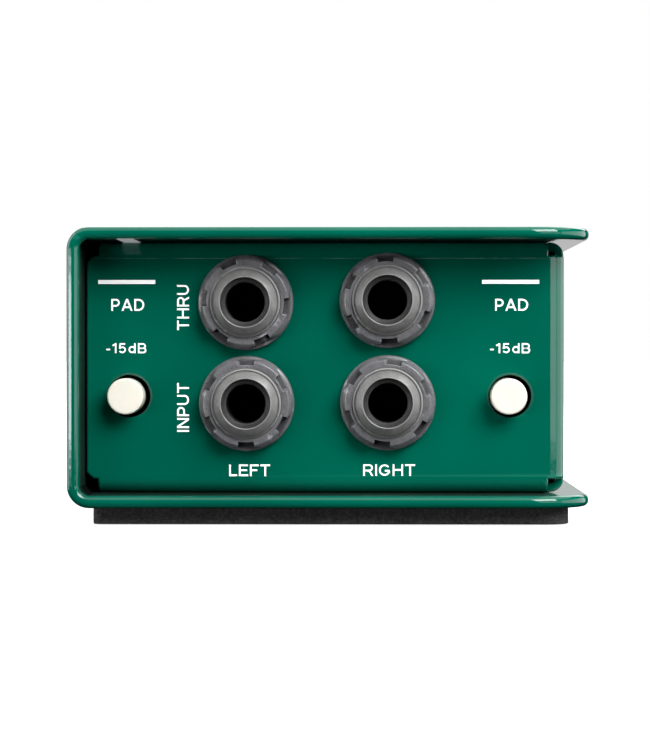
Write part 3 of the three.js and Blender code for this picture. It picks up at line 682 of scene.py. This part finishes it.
def inner_chassis():
    """One blank of jack panel, side wall and rear panel: its lips are folded first, then its corners."""
    middle_z = middle("inner_chassis").z
    half = (chassis_high.z - chassis_low.z) / 2 - LIP_BEND_R
    lip_r = LIP_BEND_R - SHEET_T / 2
    side_r = SIDE_BEND_R - SHEET_T / 2
    lip_bend = QUARTER * lip_r
    side_bend = QUARTER * side_r
    lip_end = half + lip_bend + LIP - LIP_BEND_R
    stub_end = half + lip_bend + CORNER_STUB - LIP_BEND_R
    side_lip_end = half + lip_bend + SIDE_LIP - LIP_BEND_R
    panel = chassis_high.x - chassis_low.x - SIDE_BEND_R
    wall = 2 * (PANEL_Y - SIDE_BEND_R)
    stub = LIP + 0.5 - SIDE_BEND_R  # the side lips start past the ends of the panels' lips
    wall_0 = panel + side_bend
    wall_1 = wall_0 + wall
    rear_0 = wall_1 + side_bend
    total = rear_0 + panel

    upper = [
        (0, half - EDGE_CHAMFER),
        (EDGE_CHAMFER, half),
        (LIP_START, half),
        (LIP_START, lip_end),
        (panel, lip_end),
        (panel, half),
        (wall_0, half),
        (wall_0, stub_end),
        (wall_0 + stub, stub_end),
        (wall_0 + stub, side_lip_end),
    ]
    upper += [(total - u, v) for u, v in reversed(upper)]
    outline = [(u, -v) for u, v in upper] + list(reversed(upper))

    def along(node, offset=0.0):
        """How far along the blank a node is, counted from the open end of the jack panel."""
        at = middle(node)
        u = at.x + offset - chassis_low.x
        return total - u if at.y > 0 else u

    def height(node):
        return middle(node).z - middle_z

    holes = []
    for n in JACKS:
        nut = n + "_jack_nut"
        holes.append(round_hole(JACK_HOLE_R, along(nut), height(nut), 72))
    for n in PAD_SWITCHES + LIFT_SWITCHES:
        cap = n + "_button_cap"
        offset = BUTTON_HOLE_OFFSET if n in PAD_SWITCHES else 0.0
        holes.append(round_hole(BUTTON_HOLE_R, along(cap, offset), height(cap)))
    for n in XLRS:
        nose = n + "_shell"
        holes.append(round_hole(XLR_HOLE_R, along(nose), height(nose), 72))
        for s in (-1, 1):
            tapped = along(nose, -s * XLR_SCREW_X), height(nose) + s * XLR_SCREW_Z
            holes.append(round_hole(TAPPED_R, *tapped, 24))
    for n in SHELL_SCREWS:
        on_lip = half + lip_bend + PANEL_Y - abs(middle(n).y) - LIP_BEND_R
        holes.append(round_hole(TAPPED_R, along(n), on_lip if "top" in n else -on_lip, 24))

    blank = plate("inner_chassis_blank", outline, holes, SHEET_T, SHEET_EDGE_R, 4)
    fold(blank, 1, half, 1, lip_r, 8)
    fold(blank, 1, -half, -1, lip_r, 8)
    fold(blank, 0, wall_1, 1, side_r, 10)
    fold(blank, 0, panel, 1, side_r, 10)
    # the front panel lies in XY facing -z: stand it up facing -Y
    blank.transform(Matrix(((1, 0, 0, 0), (0, 0, 1, 0), (0, 1, 0, 0), (0, 0, 0, 1))))
    blank.flip_normals()
    blank.transform(Matrix.Translation((chassis_low.x, -PANEL_Y + SHEET_T / 2, middle_z)))
    return blank


place("chassis", inner_chassis(), chassis_paint, node="inner_chassis")


# ---- Rubber pad --------------------------------------------

PAD_ROUND = 0.15
PAD_STEP = 0.7  # between the points along its outline
PAD_BULGE = 0.25  # how far the soft sides stand out past the CAD's
PAD_RAGGED = 0.05


def base_pad():
    """A slab cut from sheet: its sides are torn a little where the knife dragged."""
    low, high = corners("base_pad")
    size, centre = high - low, (high + low) / 2
    outline = rounded_rectangle(size.x, size.y, [1.5, 4, 4, 1.5], 12)
    points = []
    for here, there in zip(outline, outline[1:] + outline[:1]):
        a, b = Vector(here), Vector(there)
        count = max(1, round((b - a).length / PAD_STEP))
        points += [a.lerp(b, k / count) for k in range(count)]
    knee = PAD_ROUND * 0.3
    profile = [(PAD_ROUND, 0), (knee, knee)]
    profile += [(0, PAD_ROUND + (size.z - 2 * PAD_ROUND) * k / 6) for k in range(7)]
    profile += [(knee, size.z - knee), (PAD_ROUND, size.z)]
    bm = bmesh.new()
    loops = []
    for inset, z in profile:
        loop = []
        for p in points:
            ragged = noise.noise(Vector((p.x * 0.9, p.y * 0.9, z * 1.4))) * PAD_RAGGED
            edge = p - p.normalized() * (inset + ragged - PAD_BULGE)
            loop.append(bm.verts.new((edge.x + centre.x, edge.y + centre.y, low.z + z)))
        loops.append(loop)
    skin(bm, loops)
    bm.faces.new(reversed(loops[0]))
    bm.faces.new(loops[-1])
    return closed_mesh(bm, "base_pad_visual")


place("rubber_pad", base_pad(), rubber, node="base_pad")


# ---- Screws ------------------------------------------------

def cross_recess(arm, half, depth):
    """A tapering cross, pointing along +y from y = 0."""
    meshes = []
    for turn in (0, QUARTER):
        bm = bmesh.new()
        ends = []
        for x, y, z in ((arm, -0.6, half), (arm * 0.45, depth, half * 0.7)):
            ends.append([bm.verts.new(p) for p in ((-x, y, -z), (x, y, -z), (x, y, z), (-x, y, z))])
        bm.faces.new(ends[0])
        bm.faces.new(reversed(ends[1]))
        skin(bm, ends)
        mesh = closed_mesh(bm, "cross")
        mesh.transform(Matrix.Rotation(turn, 4, "Y"))
        meshes.append(mesh)
    return meshes


def countersunk(name, head_r, head_h, shank_r, length):
    """A countersunk screw pointing along +y with its head's face at y = 0."""
    pitch = 0.5
    profile = [(0, 0), (head_r - 0.12, 0), (head_r, 0.08), (head_r, 0.2), (shank_r, head_h)]
    y = head_h + 0.3
    while y + pitch < length - 0.4:
        profile += [(shank_r, y), (shank_r - 0.22, y + pitch / 2)]
        y += pitch
    profile += [(shank_r - 0.2, length - 0.4), (shank_r - 0.5, length), (0, length)]
    blank = lathe(name, profile, 40)
    return combine(name, blank, *[("DIFFERENCE", m) for m in cross_recess(head_r * 0.56, 0.34, 1.2)])


shell_screw = countersunk("shell_screw", SCREW_HEAD_R, SCREW_HEAD_H, THREAD_R, 6.4)
for index, n in enumerate(SHELL_SCREWS):
    at, up = middle(n), "top" in n
    low, high = corners(n)
    face = (high if up else low).z
    turned = Matrix.Rotation(math.radians(17 + 41 * index), 4, "Z")
    where = Matrix.Translation((at.x, at.y, face)) @ turned @ into_case(up)
    place(n + "_visual", shell_screw, black_screw, where, node=n, bevel=0.04)


# ---- Jacks -------------------------------------------------

NUT_FRONT = -3.1
NUT_RING_R = 6.9
NUT_BORE_R = 5.8
NUT_LEAD = 0.1
NUT_POCKET_R = 6.3
NUT_POCKET_DEPTH = 1.7
NUT_SLOT = 2.6  # width of a spanner slot
NUT_FLAT_R = 7.05
NUT_WALL_R = 7.62
NUT_FLANGE_R = 7.8
NUT_TURN = {"thru_left": -24, "input_left": 0, "thru_right": -3, "input_right": 8}  # clockwise, in degrees


def paint_hollow_shade(mesh, darkness):
    """Marks how much shade is painted on the nylon at each point, from its radius and y."""
    marks = mesh.attributes.new(HOLLOW_SHADE, "FLOAT", "POINT")
    for mark, v in zip(marks.data, mesh.vertices):
        mark.value = darkness(math.hypot(v.co.x, v.co.z), v.co.y)


def nut_profile(angle, pocket):
    """[radius, y] down the nut's outside and front at one angle; a pocket is a spanner slot."""
    beside_flat = (angle % (math.pi / 3)) - math.pi / 6  # a flat faces the middle of each slot
    wall = min(NUT_FLAT_R / math.cos(beside_flat), NUT_WALL_R)
    wall_top = NUT_FRONT + 0.15 + (wall - NUT_RING_R) * 0.9
    floor = NUT_FRONT + NUT_POCKET_DEPTH
    ring = [(wall, floor), (NUT_POCKET_R, floor)] if pocket else [(wall, wall_top), (NUT_RING_R, NUT_FRONT)]
    back = [(NUT_FLANGE_R, -PROUD), (NUT_FLANGE_R, -0.8), (NUT_WALL_R, -1.05), (wall, -1.15)]
    lead = [(NUT_BORE_R + NUT_LEAD, NUT_FRONT), (NUT_BORE_R, NUT_FRONT + NUT_LEAD)]
    return back + ring + [(NUT_POCKET_R, NUT_FRONT), *lead, (NUT_BORE_R, -PROUD)]


def jack_nut():
    """Six flats, a round flange and six slots in the front ring, one over each flat."""
    slot_r = 6.6  # where a slot has its stated width
    half_slot = math.asin(NUT_SLOT / 2 / slot_r)
    gap = math.pi / 3 - 2 * half_slot
    stations = []
    for k in range(6):
        centre = math.pi / 6 + k * math.pi / 3
        stations += [(centre - half_slot + 2 * half_slot * step / 6, True) for step in range(7)]
        stations += [(centre + half_slot + gap * step / 14, False) for step in range(15)]
    bm = bmesh.new()
    loops = []
    for angle, pocket in stations:
        profile = nut_profile(angle, pocket)
        loops.append([bm.verts.new((r * math.cos(angle), y, r * math.sin(angle))) for r, y in profile])
    skin(bm, [*loops, loops[0]])
    mesh = welded_mesh(bm, "jack_nut", 1e-3)

    # painted shade on the floors of the spanner slots
    def darkness(r, y):
        floor = NUT_FRONT + NUT_POCKET_DEPTH
        return 0.7 if y > floor - 0.1 and NUT_POCKET_R - 0.05 < r < 7.3 else 0.0

    paint_hollow_shade(mesh, darkness)
    return mesh


def jack_body():
    """The threaded barrel and the housing behind the panel, as one moulding."""
    core = [(0, 4), (BARREL_R - 0.25, 4)]
    pitch = 0.75
    y = 1.0
    while y > JACK_FRONT + pitch:
        core += [(BARREL_R, y), (THREAD_ROOT_R, y - pitch / 2)]
        y -= pitch
    nose = [
        (BARREL_R, 1.75),
        (BARREL_R - 0.18, 1.5),
        (THREAD_ROOT_R, 1.46),
        (THREAD_ROOT_R, 1.2),
        (BARREL_R - 0.38, 1.02),
        (BARREL_R - 0.7, 0.7),
        (BARREL_R - 1.15, 0.34),
        (MOUTH_R + 0.2, 0.08),
        (MOUTH_R + 0.08, 0),
        (MOUTH_R, 0.03),
        (MOUTH_R - 0.08, 0.5),
        (MOUTH_R - 0.16, 0.62),
        (BORE_R + 0.2, 0.74),
        (BORE_R, 1.0),
    ]
    core += [(r, JACK_FRONT + y) for r, y in nose] + [(BORE_R, 0), (0, 0)]
    barrel = lathe("barrel", core, 96)
    h = JACK_BODY / 2
    shoulder = h - 1.2
    front = block("shoulder", (-shoulder, SHEET_T + 0.1, -shoulder), (shoulder, 6, shoulder), 0.5)
    housing = block("housing", (-h, LIP_BEND_R + 0.1, -h), (h, JACK_BACK, h), 0.6)
    bore = lathe("bore", [(0, -1), (BORE_R, -1), (BORE_R, JACK_BACK - 0.6), (0, JACK_BACK - 0.6)], 48)
    cuts = [("UNION", front), ("UNION", housing), ("DIFFERENCE", bore)]
    slot_w = 1.95
    inner, outer = 5.6, 6.8  # of the grooves that the contacts' legs lie in
    slots = [
        (3.2, 0, 13.5, outer),
        (12, inner, JACK_BACK + 1, outer),
        (8.2, -outer, 26.5, 0),
        (20, -outer, JACK_BACK + 1, -inner),
    ]
    for low_y, low_z, high_y, high_z in slots:
        slot = block("slot", (-slot_w, low_y, low_z), (slot_w, high_y, high_z))
        slot.transform(Matrix.Rotation(CONTACT_ROLL, 4, "Y"))
        cuts.append(("DIFFERENCE", slot))
    mesh = combine("jack_body_visual", barrel, *cuts)

    # painted shade inside the mouth, and on the thread and the wider housing behind the nut
    def darkness(r, y):
        if r < MOUTH_R + 0.02 and y > JACK_FRONT + 0.04:
            return 1.0
        return 0.6 if r > THREAD_ROOT_R - 0.01 else 0.0

    paint_hollow_shade(mesh, darkness)
    return mesh


nut_mesh, body_mesh = jack_nut(), jack_body()
for n in JACKS:
    at = middle(n + "_jack_nut")
    where = Matrix.Translation((at.x, -PANEL_Y, at.z))
    turned = where @ Matrix.Rotation(math.radians(NUT_TURN[n]), 4, "Y")
    place(n + "_nut", nut_mesh, nut_nylon, turned, node=n + "_jack_nut", bevel=0.1)
    place(n + "_jack", body_mesh, barrel_nylon, where, node=n + "_jack_body")


# ---- Push buttons ------------------------------------------

BUTTON_R = 2.95
BUTTON_PROUD = 3.6


def button_cap():
    """A round cap with a softened rim, and a square pocket that its plunger fills."""
    edge = 0.3
    profile = [(0, 6), (BUTTON_R - 0.1, 6), (BUTTON_R, 5.9)]
    profile += arc(edge, BUTTON_R - edge, edge - BUTTON_PROUD, 0, -QUARTER, 5)
    profile += [(BUTTON_R - 0.6, -BUTTON_PROUD), (1.2, -BUTTON_PROUD + 0.02), (0, -BUTTON_PROUD + 0.02)]
    pocket = block("pocket", (-1.75, 1.5, -1.75), (1.75, 7, 1.75))
    return combine("button_cap_visual", lathe("cap", profile, 72), ("DIFFERENCE", pocket))


def coil(name, y0, y1, turns=6.5):
    """A ground compression spring about Y, its wire swept round a helix."""
    radius, wire, around, per_turn = 1.9, 0.22, 8, 28
    count = round(turns * per_turn)
    bm = bmesh.new()
    rings = []
    for k in range(count + 1):
        t = k / count
        a = turns * 2 * math.pi * t
        # the end turns lie close together, as on a real compression spring
        y = y0 + wire + (y1 - y0 - 2 * wire) * (t - 0.09 * math.sin(2 * math.pi * t))
        section = arc(wire, radius, y, 0, 2 * math.pi, around)[:-1]
        rings.append([bm.verts.new((r * math.cos(a), height, r * math.sin(a))) for r, height in section])
    skin(bm, rings)
    bm.faces.new(rings[0])
    bm.faces.new(rings[-1])
    return closed_mesh(bm, name)


cap_mesh = button_cap()
for n in PAD_SWITCHES + LIFT_SWITCHES:
    at = middle(n + "_button_cap")
    front = n in PAD_SWITCHES
    where = Matrix.Translation((at.x, -PANEL_Y if front else PANEL_Y, at.z))
    if not front:
        where = where @ TO_REAR
    cap_node, spring_node = n + "_button_cap", n + "_return_spring"
    place(n + "_cap", cap_mesh, button_plastic, where, n + "_button", node=cap_node)
    low, high = corners(spring_node)
    spring = coil(n + "_spring", *sorted((PANEL_Y - abs(low.y), PANEL_Y - abs(high.y))))
    piece = place(n + "_spring", spring, spring_wire, where, node=spring_node)
    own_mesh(piece)


# ---- XLR receptacles ---------------------------------------

XLR_FLANGE = (26, 31)
XLR_FLANGE_T = 1.75
XLR_NOSE_R = 11.6
XLR_CAVITY_R = 9.5
XLR_FRONT = -2.9
XLR_FLOOR = 12.0
XLR_BACK = 22.0
XLR_PINS = [polar(4.6, math.radians(a)) for a in (150, 30, 270)]


def xlr_shell():
    """A square flange with a round nose, a keyed cavity and two countersunk holes."""
    outline = rounded_rectangle(*XLR_FLANGE, [3] * 4, 10)
    flange = plate("flange", outline, [round_hole(10.9, count=72)], XLR_FLANGE_T, 0.35)
    flange.transform(Matrix.Translation((0, -PROUD - XLR_FLANGE_T / 2, 0)) @ Matrix.Rotation(QUARTER, 4, "X"))
    back = [(0, XLR_BACK), (XLR_NOSE_R - 0.3, XLR_BACK), (XLR_NOSE_R, XLR_BACK - 0.3)]
    rim = [(XLR_NOSE_R, 0.6), (XLR_NOSE_R - 0.15, 0.25), (XLR_NOSE_R - 0.5, 0)]
    rim += [(XLR_CAVITY_R + 0.9, 0), (XLR_CAVITY_R + 0.6, 0.1), (XLR_CAVITY_R + 0.1, 0.6), (XLR_CAVITY_R, 1)]
    rim = [(r, XLR_FRONT + y) for r, y in rim]
    barrel = lathe("nose", [*back, *rim, (XLR_CAVITY_R, XLR_FLOOR), (0, XLR_FLOOR)], 96)
    key = block("key", (-2.3, -4, 8), (2.3, 3, XLR_CAVITY_R + 1), 0.2)
    cuts = [("UNION", barrel), ("DIFFERENCE", key)]
    for s in (-1, 1):
        sink = [(SCREW_HOLE_R, 1), (SCREW_HOLE_R, -0.3), (3.1, -1.8), (3.1, -3)]
        hole = lathe("hole", [(0, 1), *sink, (0, -3)], 32)
        hole.transform(Matrix.Translation((s * XLR_SCREW_X, 0, s * XLR_SCREW_Z)))
        cuts.append(("DIFFERENCE", hole))
    for px, pz in XLR_PINS:
        start, end = XLR_FLOOR - 1, XLR_BACK + 1
        hole = lathe("pin_hole", [(0, start), (1.4, start), (1.4, end), (0, end)], 24)
        hole.transform(Matrix.Translation((px, 0, pz)))
        cuts.append(("DIFFERENCE", hole))
    return combine("xlr_shell_visual", flange, *cuts)


def xlr_pin():
    """A contact with a domed nose, and the thinner tail that is soldered to the board."""
    r, tail_r = 1.15, 0.55
    shoulder, end = 23, 30.8
    nose = [(r * math.sin(QUARTER * k / 6), 3.3 - 1.1 * math.cos(QUARTER * k / 6)) for k in range(7)]
    return lathe("xlr_pin", nose + [(r, shoulder), (tail_r, shoulder), (tail_r, end), (0, end)], 40)


xlr_mesh, pin_mesh = xlr_shell(), xlr_pin()
xlr_screw = countersunk("xlr_screw", 2.85, 1.35, THREAD_R, 6.85)
for n in XLRS:
    at = middle(n + "_shell")
    where = Matrix.Translation((at.x, PANEL_Y, at.z)) @ TO_REAR
    receptacle = place(n + "_receptacle", xlr_mesh, connector_coat, where, node=n + "_shell", bevel=0.06)
    for k, (px, pz) in enumerate(XLR_PINS):
        spot = where @ Matrix.Translation((px, 0, pz))
        place(f"{n}_contact_{k + 1}", pin_mesh, silver, spot, node=f"{n}_pin_{k + 1}")
    for s, end in ((1, "upper"), (-1, "lower")):
        head_face = -PROUD - XLR_FLANGE_T - 0.05
        spot = where @ Matrix.Translation((s * XLR_SCREW_X, head_face, s * XLR_SCREW_Z))
        spot = spot @ Matrix.Rotation(math.radians(25 * s), 4, "Y")
        name = f"{n}_screw_{end}"
        place(name + "_visual", xlr_screw, black_screw, spot, node=name, bevel=0.04)


# ---- Legends -----------------------------------------------

INK_T = 0.03
PEN = 0.073  # half a stroke, where a capital is 1 high
TOP = 1 - PEN
WAIST = 0.5


def oval(x, y, rx, ry, start, end, count=24):
    """Points round part of an oval, with angles in degrees."""
    angles = [math.radians(start + (end - start) * k / count) for k in range(count + 1)]
    return [(x + rx * math.cos(a), y + ry * math.sin(a)) for a in angles]


# Each letter: the width between its outermost stroke middles, then its strokes. A stroke is a line of
# points, with x from 0 to 1 across that width, or a slant given by its foot and head, or a bowl given by
# its width, bottom and top.
STEM_LEFT = [(0, 0), (0, 1)]
STEM_RIGHT = [(1, 0), (1, 1)]
LETTERS = {
    "A": (0.76, [("slant", (0, 0), (0.5, 1)), ("slant", (1, 0), (0.5, 1)), [(0.17, 0.3), (0.83, 0.3)]]),
    "B": (0.58, [STEM_LEFT, ("bowl", 0.93, WAIST, TOP), ("bowl", 1.0, PEN, WAIST)]),
    "D": (0.68, [STEM_LEFT, ("bowl", 1.0, PEN, TOP)]),
    "E": (0.58, [[(1.1, TOP), (0, TOP), (0, PEN), (1.13, PEN)], [(0, WAIST), (1, WAIST)]]),
    "F": (0.54, [[(1.13, TOP), (0, TOP), (0, 0)], [(0, WAIST), (0.95, WAIST)]]),
    "G": (0.74, [oval(0.48, 0.5, 0.48, 0.417, 38, 350), [(0.5, 0.45), (0.97, 0.45)]]),
    "H": (0.64, [STEM_LEFT, STEM_RIGHT, [(0, 0.52), (1, 0.52)]]),
    "I": (0.0, [STEM_LEFT]),
    "L": (0.48, [[(0, 1), (0, PEN), (1.15, PEN)]]),
    "N": (0.62, [STEM_LEFT, STEM_RIGHT, ("slant", (0.98, 0), (0.02, 1))]),
    "P": (0.56, [STEM_LEFT, ("bowl", 1.0, 0.42, TOP)]),
    "R": (0.62, [STEM_LEFT, ("bowl", 0.96, 0.46, TOP), ("slant", (1.0, 0), (0.62, 0.46))]),
    "T": (0.62, [[(0.5, 0), (0.5, TOP)], [(-0.1, TOP), (1.1, TOP)]]),
    "U": (0.62, [[(0, 1), *oval(0.5, 0.38, 0.5, 0.297, 180, 360), (1, 1)]]),
    "d": (0.47, [STEM_RIGHT, oval(0.5, 0.36, 0.5, 0.277, 0, 360)]),
    "1": (0.22, [STEM_RIGHT, [(-0.2, 0.75), (1, 0.93)]]),
    "5": (0.50, [[(0.95, TOP), (0.14, TOP), (0.03, 0.44)], oval(0.47, 0.34, 0.49, 0.257, 140, -152)]),
    "-": (0.18, [[(-0.4, 0.37), (1.4, 0.37)]]),
}


def ribbon(points):
    """The outline of a stroke along a line of points, with mitred corners and square ends."""
    line = [Vector(p) for p in points]
    ways = [(b - a).normalized() for a, b in zip(line, line[1:])]
    ways = [ways[0], *ways, ways[-1]]
    left, right = [], []
    for point, before, after in zip(line, ways, ways[1:]):
        side = (before + after).normalized().orthogonal()
        reach = PEN / max(abs(side.dot(before.orthogonal())), 0.3)
        left.append(point + side * reach)
        right.append(point - side * reach)
    return left + right[::-1]


def slant(foot, head):
    """A sloping stroke with level ends."""
    (x0, y0), (x1, y1) = foot, head
    half = PEN * math.hypot(x1 - x0, y1 - y0) / (y1 - y0)
    return [(x0 - half, y0), (x0 + half, y0), (x1 + half, y1), (x1 - half, y1)]


def bowl(width, low, high):
    """A half round on a stem at x = 0."""
    r = (high - low) / 2
    turn = arc(r, width - r, low + r, QUARTER, -2 * QUARTER, 14)
    return ribbon([(0, high), *turn, (0, low)])


def stroke_outline(stroke, width):
    """A stroke's outline, with the letter's left middle at x = 0 and its right one at width."""
    if stroke[0] == "slant":
        return slant(*[(x * width, y) for x, y in stroke[1:]])
    if stroke[0] == "bowl":
        return bowl(stroke[1] * width, *stroke[2:])
    return ribbon([(x * width, y) for x, y in stroke])


def prism(name, outline, thickness):
    """A flat solid with a given outline, centred on z = 0."""
    bm = bmesh.new()
    lower, upper = [[bm.verts.new((x, y, z)) for x, y in outline] for z in (-thickness / 2, thickness / 2)]
    bm.faces.new(lower)
    bm.faces.new(reversed(upper))
    skin(bm, [lower, upper])
    return closed_mesh(bm, name)


def legend(name, words, x, z, width, height, turn=0.0, rear=False, gap=0.15):
    """Printed words of a given width and capital height, centred at x and z on the front or rear panel.

    gap is the nominal space between letters, which is stretched like their widths to fill the width.
    """
    letters = [LETTERS[c] for c in words]
    nominal = sum(across for across, _ in letters) + gap * (len(words) - 1)
    spread = (width / height - 2 * PEN * len(words)) / nominal
    strokes, at = [], PEN
    for across, drawn in letters:
        for stroke in drawn:
            outline = [(px + at, py) for px, py in stroke_outline(stroke, across * spread)]
            strokes.append(prism(name, outline, INK_T / height))
        at += across * spread + 2 * PEN + gap * spread
    mesh = combine(name, strokes[0], *[("UNION", stroke) for stroke in strokes[1:]])
    mesh.transform(Matrix.Scale(height, 4) @ Matrix.Translation((-width / height / 2, -0.5, 0)))
    put_ink(name, mesh, x, z, turn, rear)


def rule(name, x, z, width, height):
    """A printed bar."""
    w, h = width / 2, height / 2
    put_ink(name, prism(name, [(-w, -h), (w, -h), (w, h), (-w, h)], INK_T), x, z)


def put_ink(name, mesh, x, z, turn=0.0, rear=False):
    """Lays a flat mesh drawn in XY on the front or rear panel."""
    upright = Matrix.Rotation(QUARTER, 4, "X") @ Matrix.Rotation(turn, 4, "Z")
    y = -PANEL_Y - INK_T / 2
    where = Matrix.Translation((-x if rear else x, y, z)) @ upright
    if rear:
        where = TO_REAR @ where
    place(name, mesh, ink, where)


for n, bar_x in (("pad_left", -33.33), ("pad_right", 29.50)):
    rule(n + "_bar", bar_x, 39.35, 9.35, 0.64)
    legend(n + "_word", "PAD", bar_x + 0.16, 35.6, 5.4, 1.95)
    legend(n + "_level", "-15dB", bar_x - 0.08, 28.5, 6.55, 1.64, gap=0.2)
legend("thru_word", "THRU", -24.1, 35.15, 7.4, 1.96, QUARTER)
legend("input_word", "INPUT", -24.1, 18.8, 8.0, 1.96, QUARTER)
legend("left_word", "LEFT", -13.2, 8.5, 6.7, 1.9)
legend("right_word", "RIGHT", 9.65, 8.55, 8.5, 1.9)
for n, words in (("xlr_left", "LEFT"), ("xlr_right", "RIGHT")):
    legend(n + "_word", words, middle(n + "_shell").x, 8.0, 1.55 * len(words), 1.8, rear=True)
for n in LIFT_SWITCHES:
    at = middle(n + "_button_cap")
    legend(n + "_word", "LIFT", at.x, at.z + 6.2, 5.4, 1.8, rear=True)


# ---- CAD nodes that are shown as they are ------------------

CARRIED_OVER = {
    "_sleeve_contact": (contact_metal, 0.0),
    "_tip_contact": (contact_metal, 0.0),
    "_switch_body": (switch_plastic, 0.15),
    "_plunger": (switch_plastic, 0.1),
    "_board": (board, 0.05),
    "_can": (can_metal, 0.25),
    "_core": (core_metal, 0.1),
}
for name, obj in sorted(frame["nodes"].items()):
    for ending, (material, bevel) in CARRIED_OVER.items():
        if name.endswith(ending):
            obj.data.materials.clear()
            obj.data.materials.append(material)
            finish_edges(obj, bevel)


# ---- Floor, light and camera -------------------------------

def floor():
    bm = bmesh.new()
    bmesh.ops.create_grid(bm, x_segments=8, y_segments=8, size=6.0)
    obj = link(bpy.data.objects.new("floor", mesh_from(bm, "floor")))
    obj.location.z = -0.0002
    g = Graph("pale_floor")
    g.set(Base_Color=g.blend(g.noise(0.01), colour(0.5, 0.5, 0.5), colour(0.52, 0.52, 0.52)))
    g.set(Roughness=0.9, Specular_IOR_Level=0.0, Emission_Color=colour(1, 1, 1), Emission_Strength=0.85)
    obj.data.materials.append(g.made)
    obj.visible_glossy = False
    obj.visible_diffuse = False
    obj.visible_shadow = False


def world():
    """White to the camera, bright straight behind the box and dark everywhere else."""
    g = Graph("studio", "worlds", "Background", "Generated")
    behind = g.ramp(g.axis("Y"), 0.9, 0.98, 0.0, 0.62)
    seen = g.add("ShaderNodeLightPath").outputs["Is Camera Ray"]
    g.set(Color=colour(1, 1, 1), Strength=g.maths("MAXIMUM", behind, seen))
    bpy.context.scene.world = g.made


LIT_SPOT = Vector((0, -30, 24)) * MM  # what the lights face
CAMERA_AT = Vector((6.52, -493.5, 28.2)) * MM  # square on to the jack panel, a little right of its middle
CAMERA_AIM = Vector((-0.69, -63.5, 24.2)) * MM


def aimed(name, data, at, way, front):
    """Puts a light or a camera at a place, with its front axis along a way."""
    obj = link(bpy.data.objects.new(name, data))
    obj.location = at
    obj.rotation_mode = "QUATERNION"
    obj.rotation_quaternion = way.to_track_quat(front, "Y")
    return obj


def softbox(name, azimuth, elevation, distance, size, power):
    """A rectangular light that faces the box. Azimuth 0 is in front of it and 90 to its right."""
    light = bpy.data.lights.new(name, "AREA")
    light.shape = "RECTANGLE"
    light.size, light.size_y = size
    light.energy = power
    a, e = math.radians(azimuth), math.radians(elevation)
    way = Vector((math.sin(a) * math.cos(e), -math.cos(a) * math.cos(e), math.sin(e)))
    aimed(name, light, LIT_SPOT + way * distance, way, "Z").visible_camera = False


def overhead(strength):
    """Soft light from the whole ceiling."""
    light = bpy.data.lights.new("overhead", "SUN")
    light.angle = math.radians(100)
    light.energy = strength
    obj = link(bpy.data.objects.new("overhead", light))
    obj.rotation_euler = (math.radians(3), 0, 0)


def camera():
    data = bpy.data.cameras.new("camera")
    data.lens = 128.9
    data.clip_start, data.clip_end = 0.01, 20
    bpy.context.scene.camera = aimed("camera", data, CAMERA_AT, CAMERA_AIM - CAMERA_AT, "-Z")


floor()
world()
overhead(2.6)
softbox("key", 36, 35, 0.8, (0.56, 0.44), 10.6)
softbox("key_low", 41, 1, 0.6, (0.43, 0.09), 0.34)
softbox("left_band", -46, 0, 0.9, (0.74, 0.09), 3.2)
softbox("left_side", -90, 16, 0.9, (0.8, 1.0), 7.2)
softbox("right_side", 100, 3, 0.9, (1.3, 0.56), 4.8)
softbox("rear_fill", 170, 34, 0.9, (0.8, 0.5), 4.0)
camera()
bpy.context.scene.view_settings.view_transform = "Standard"
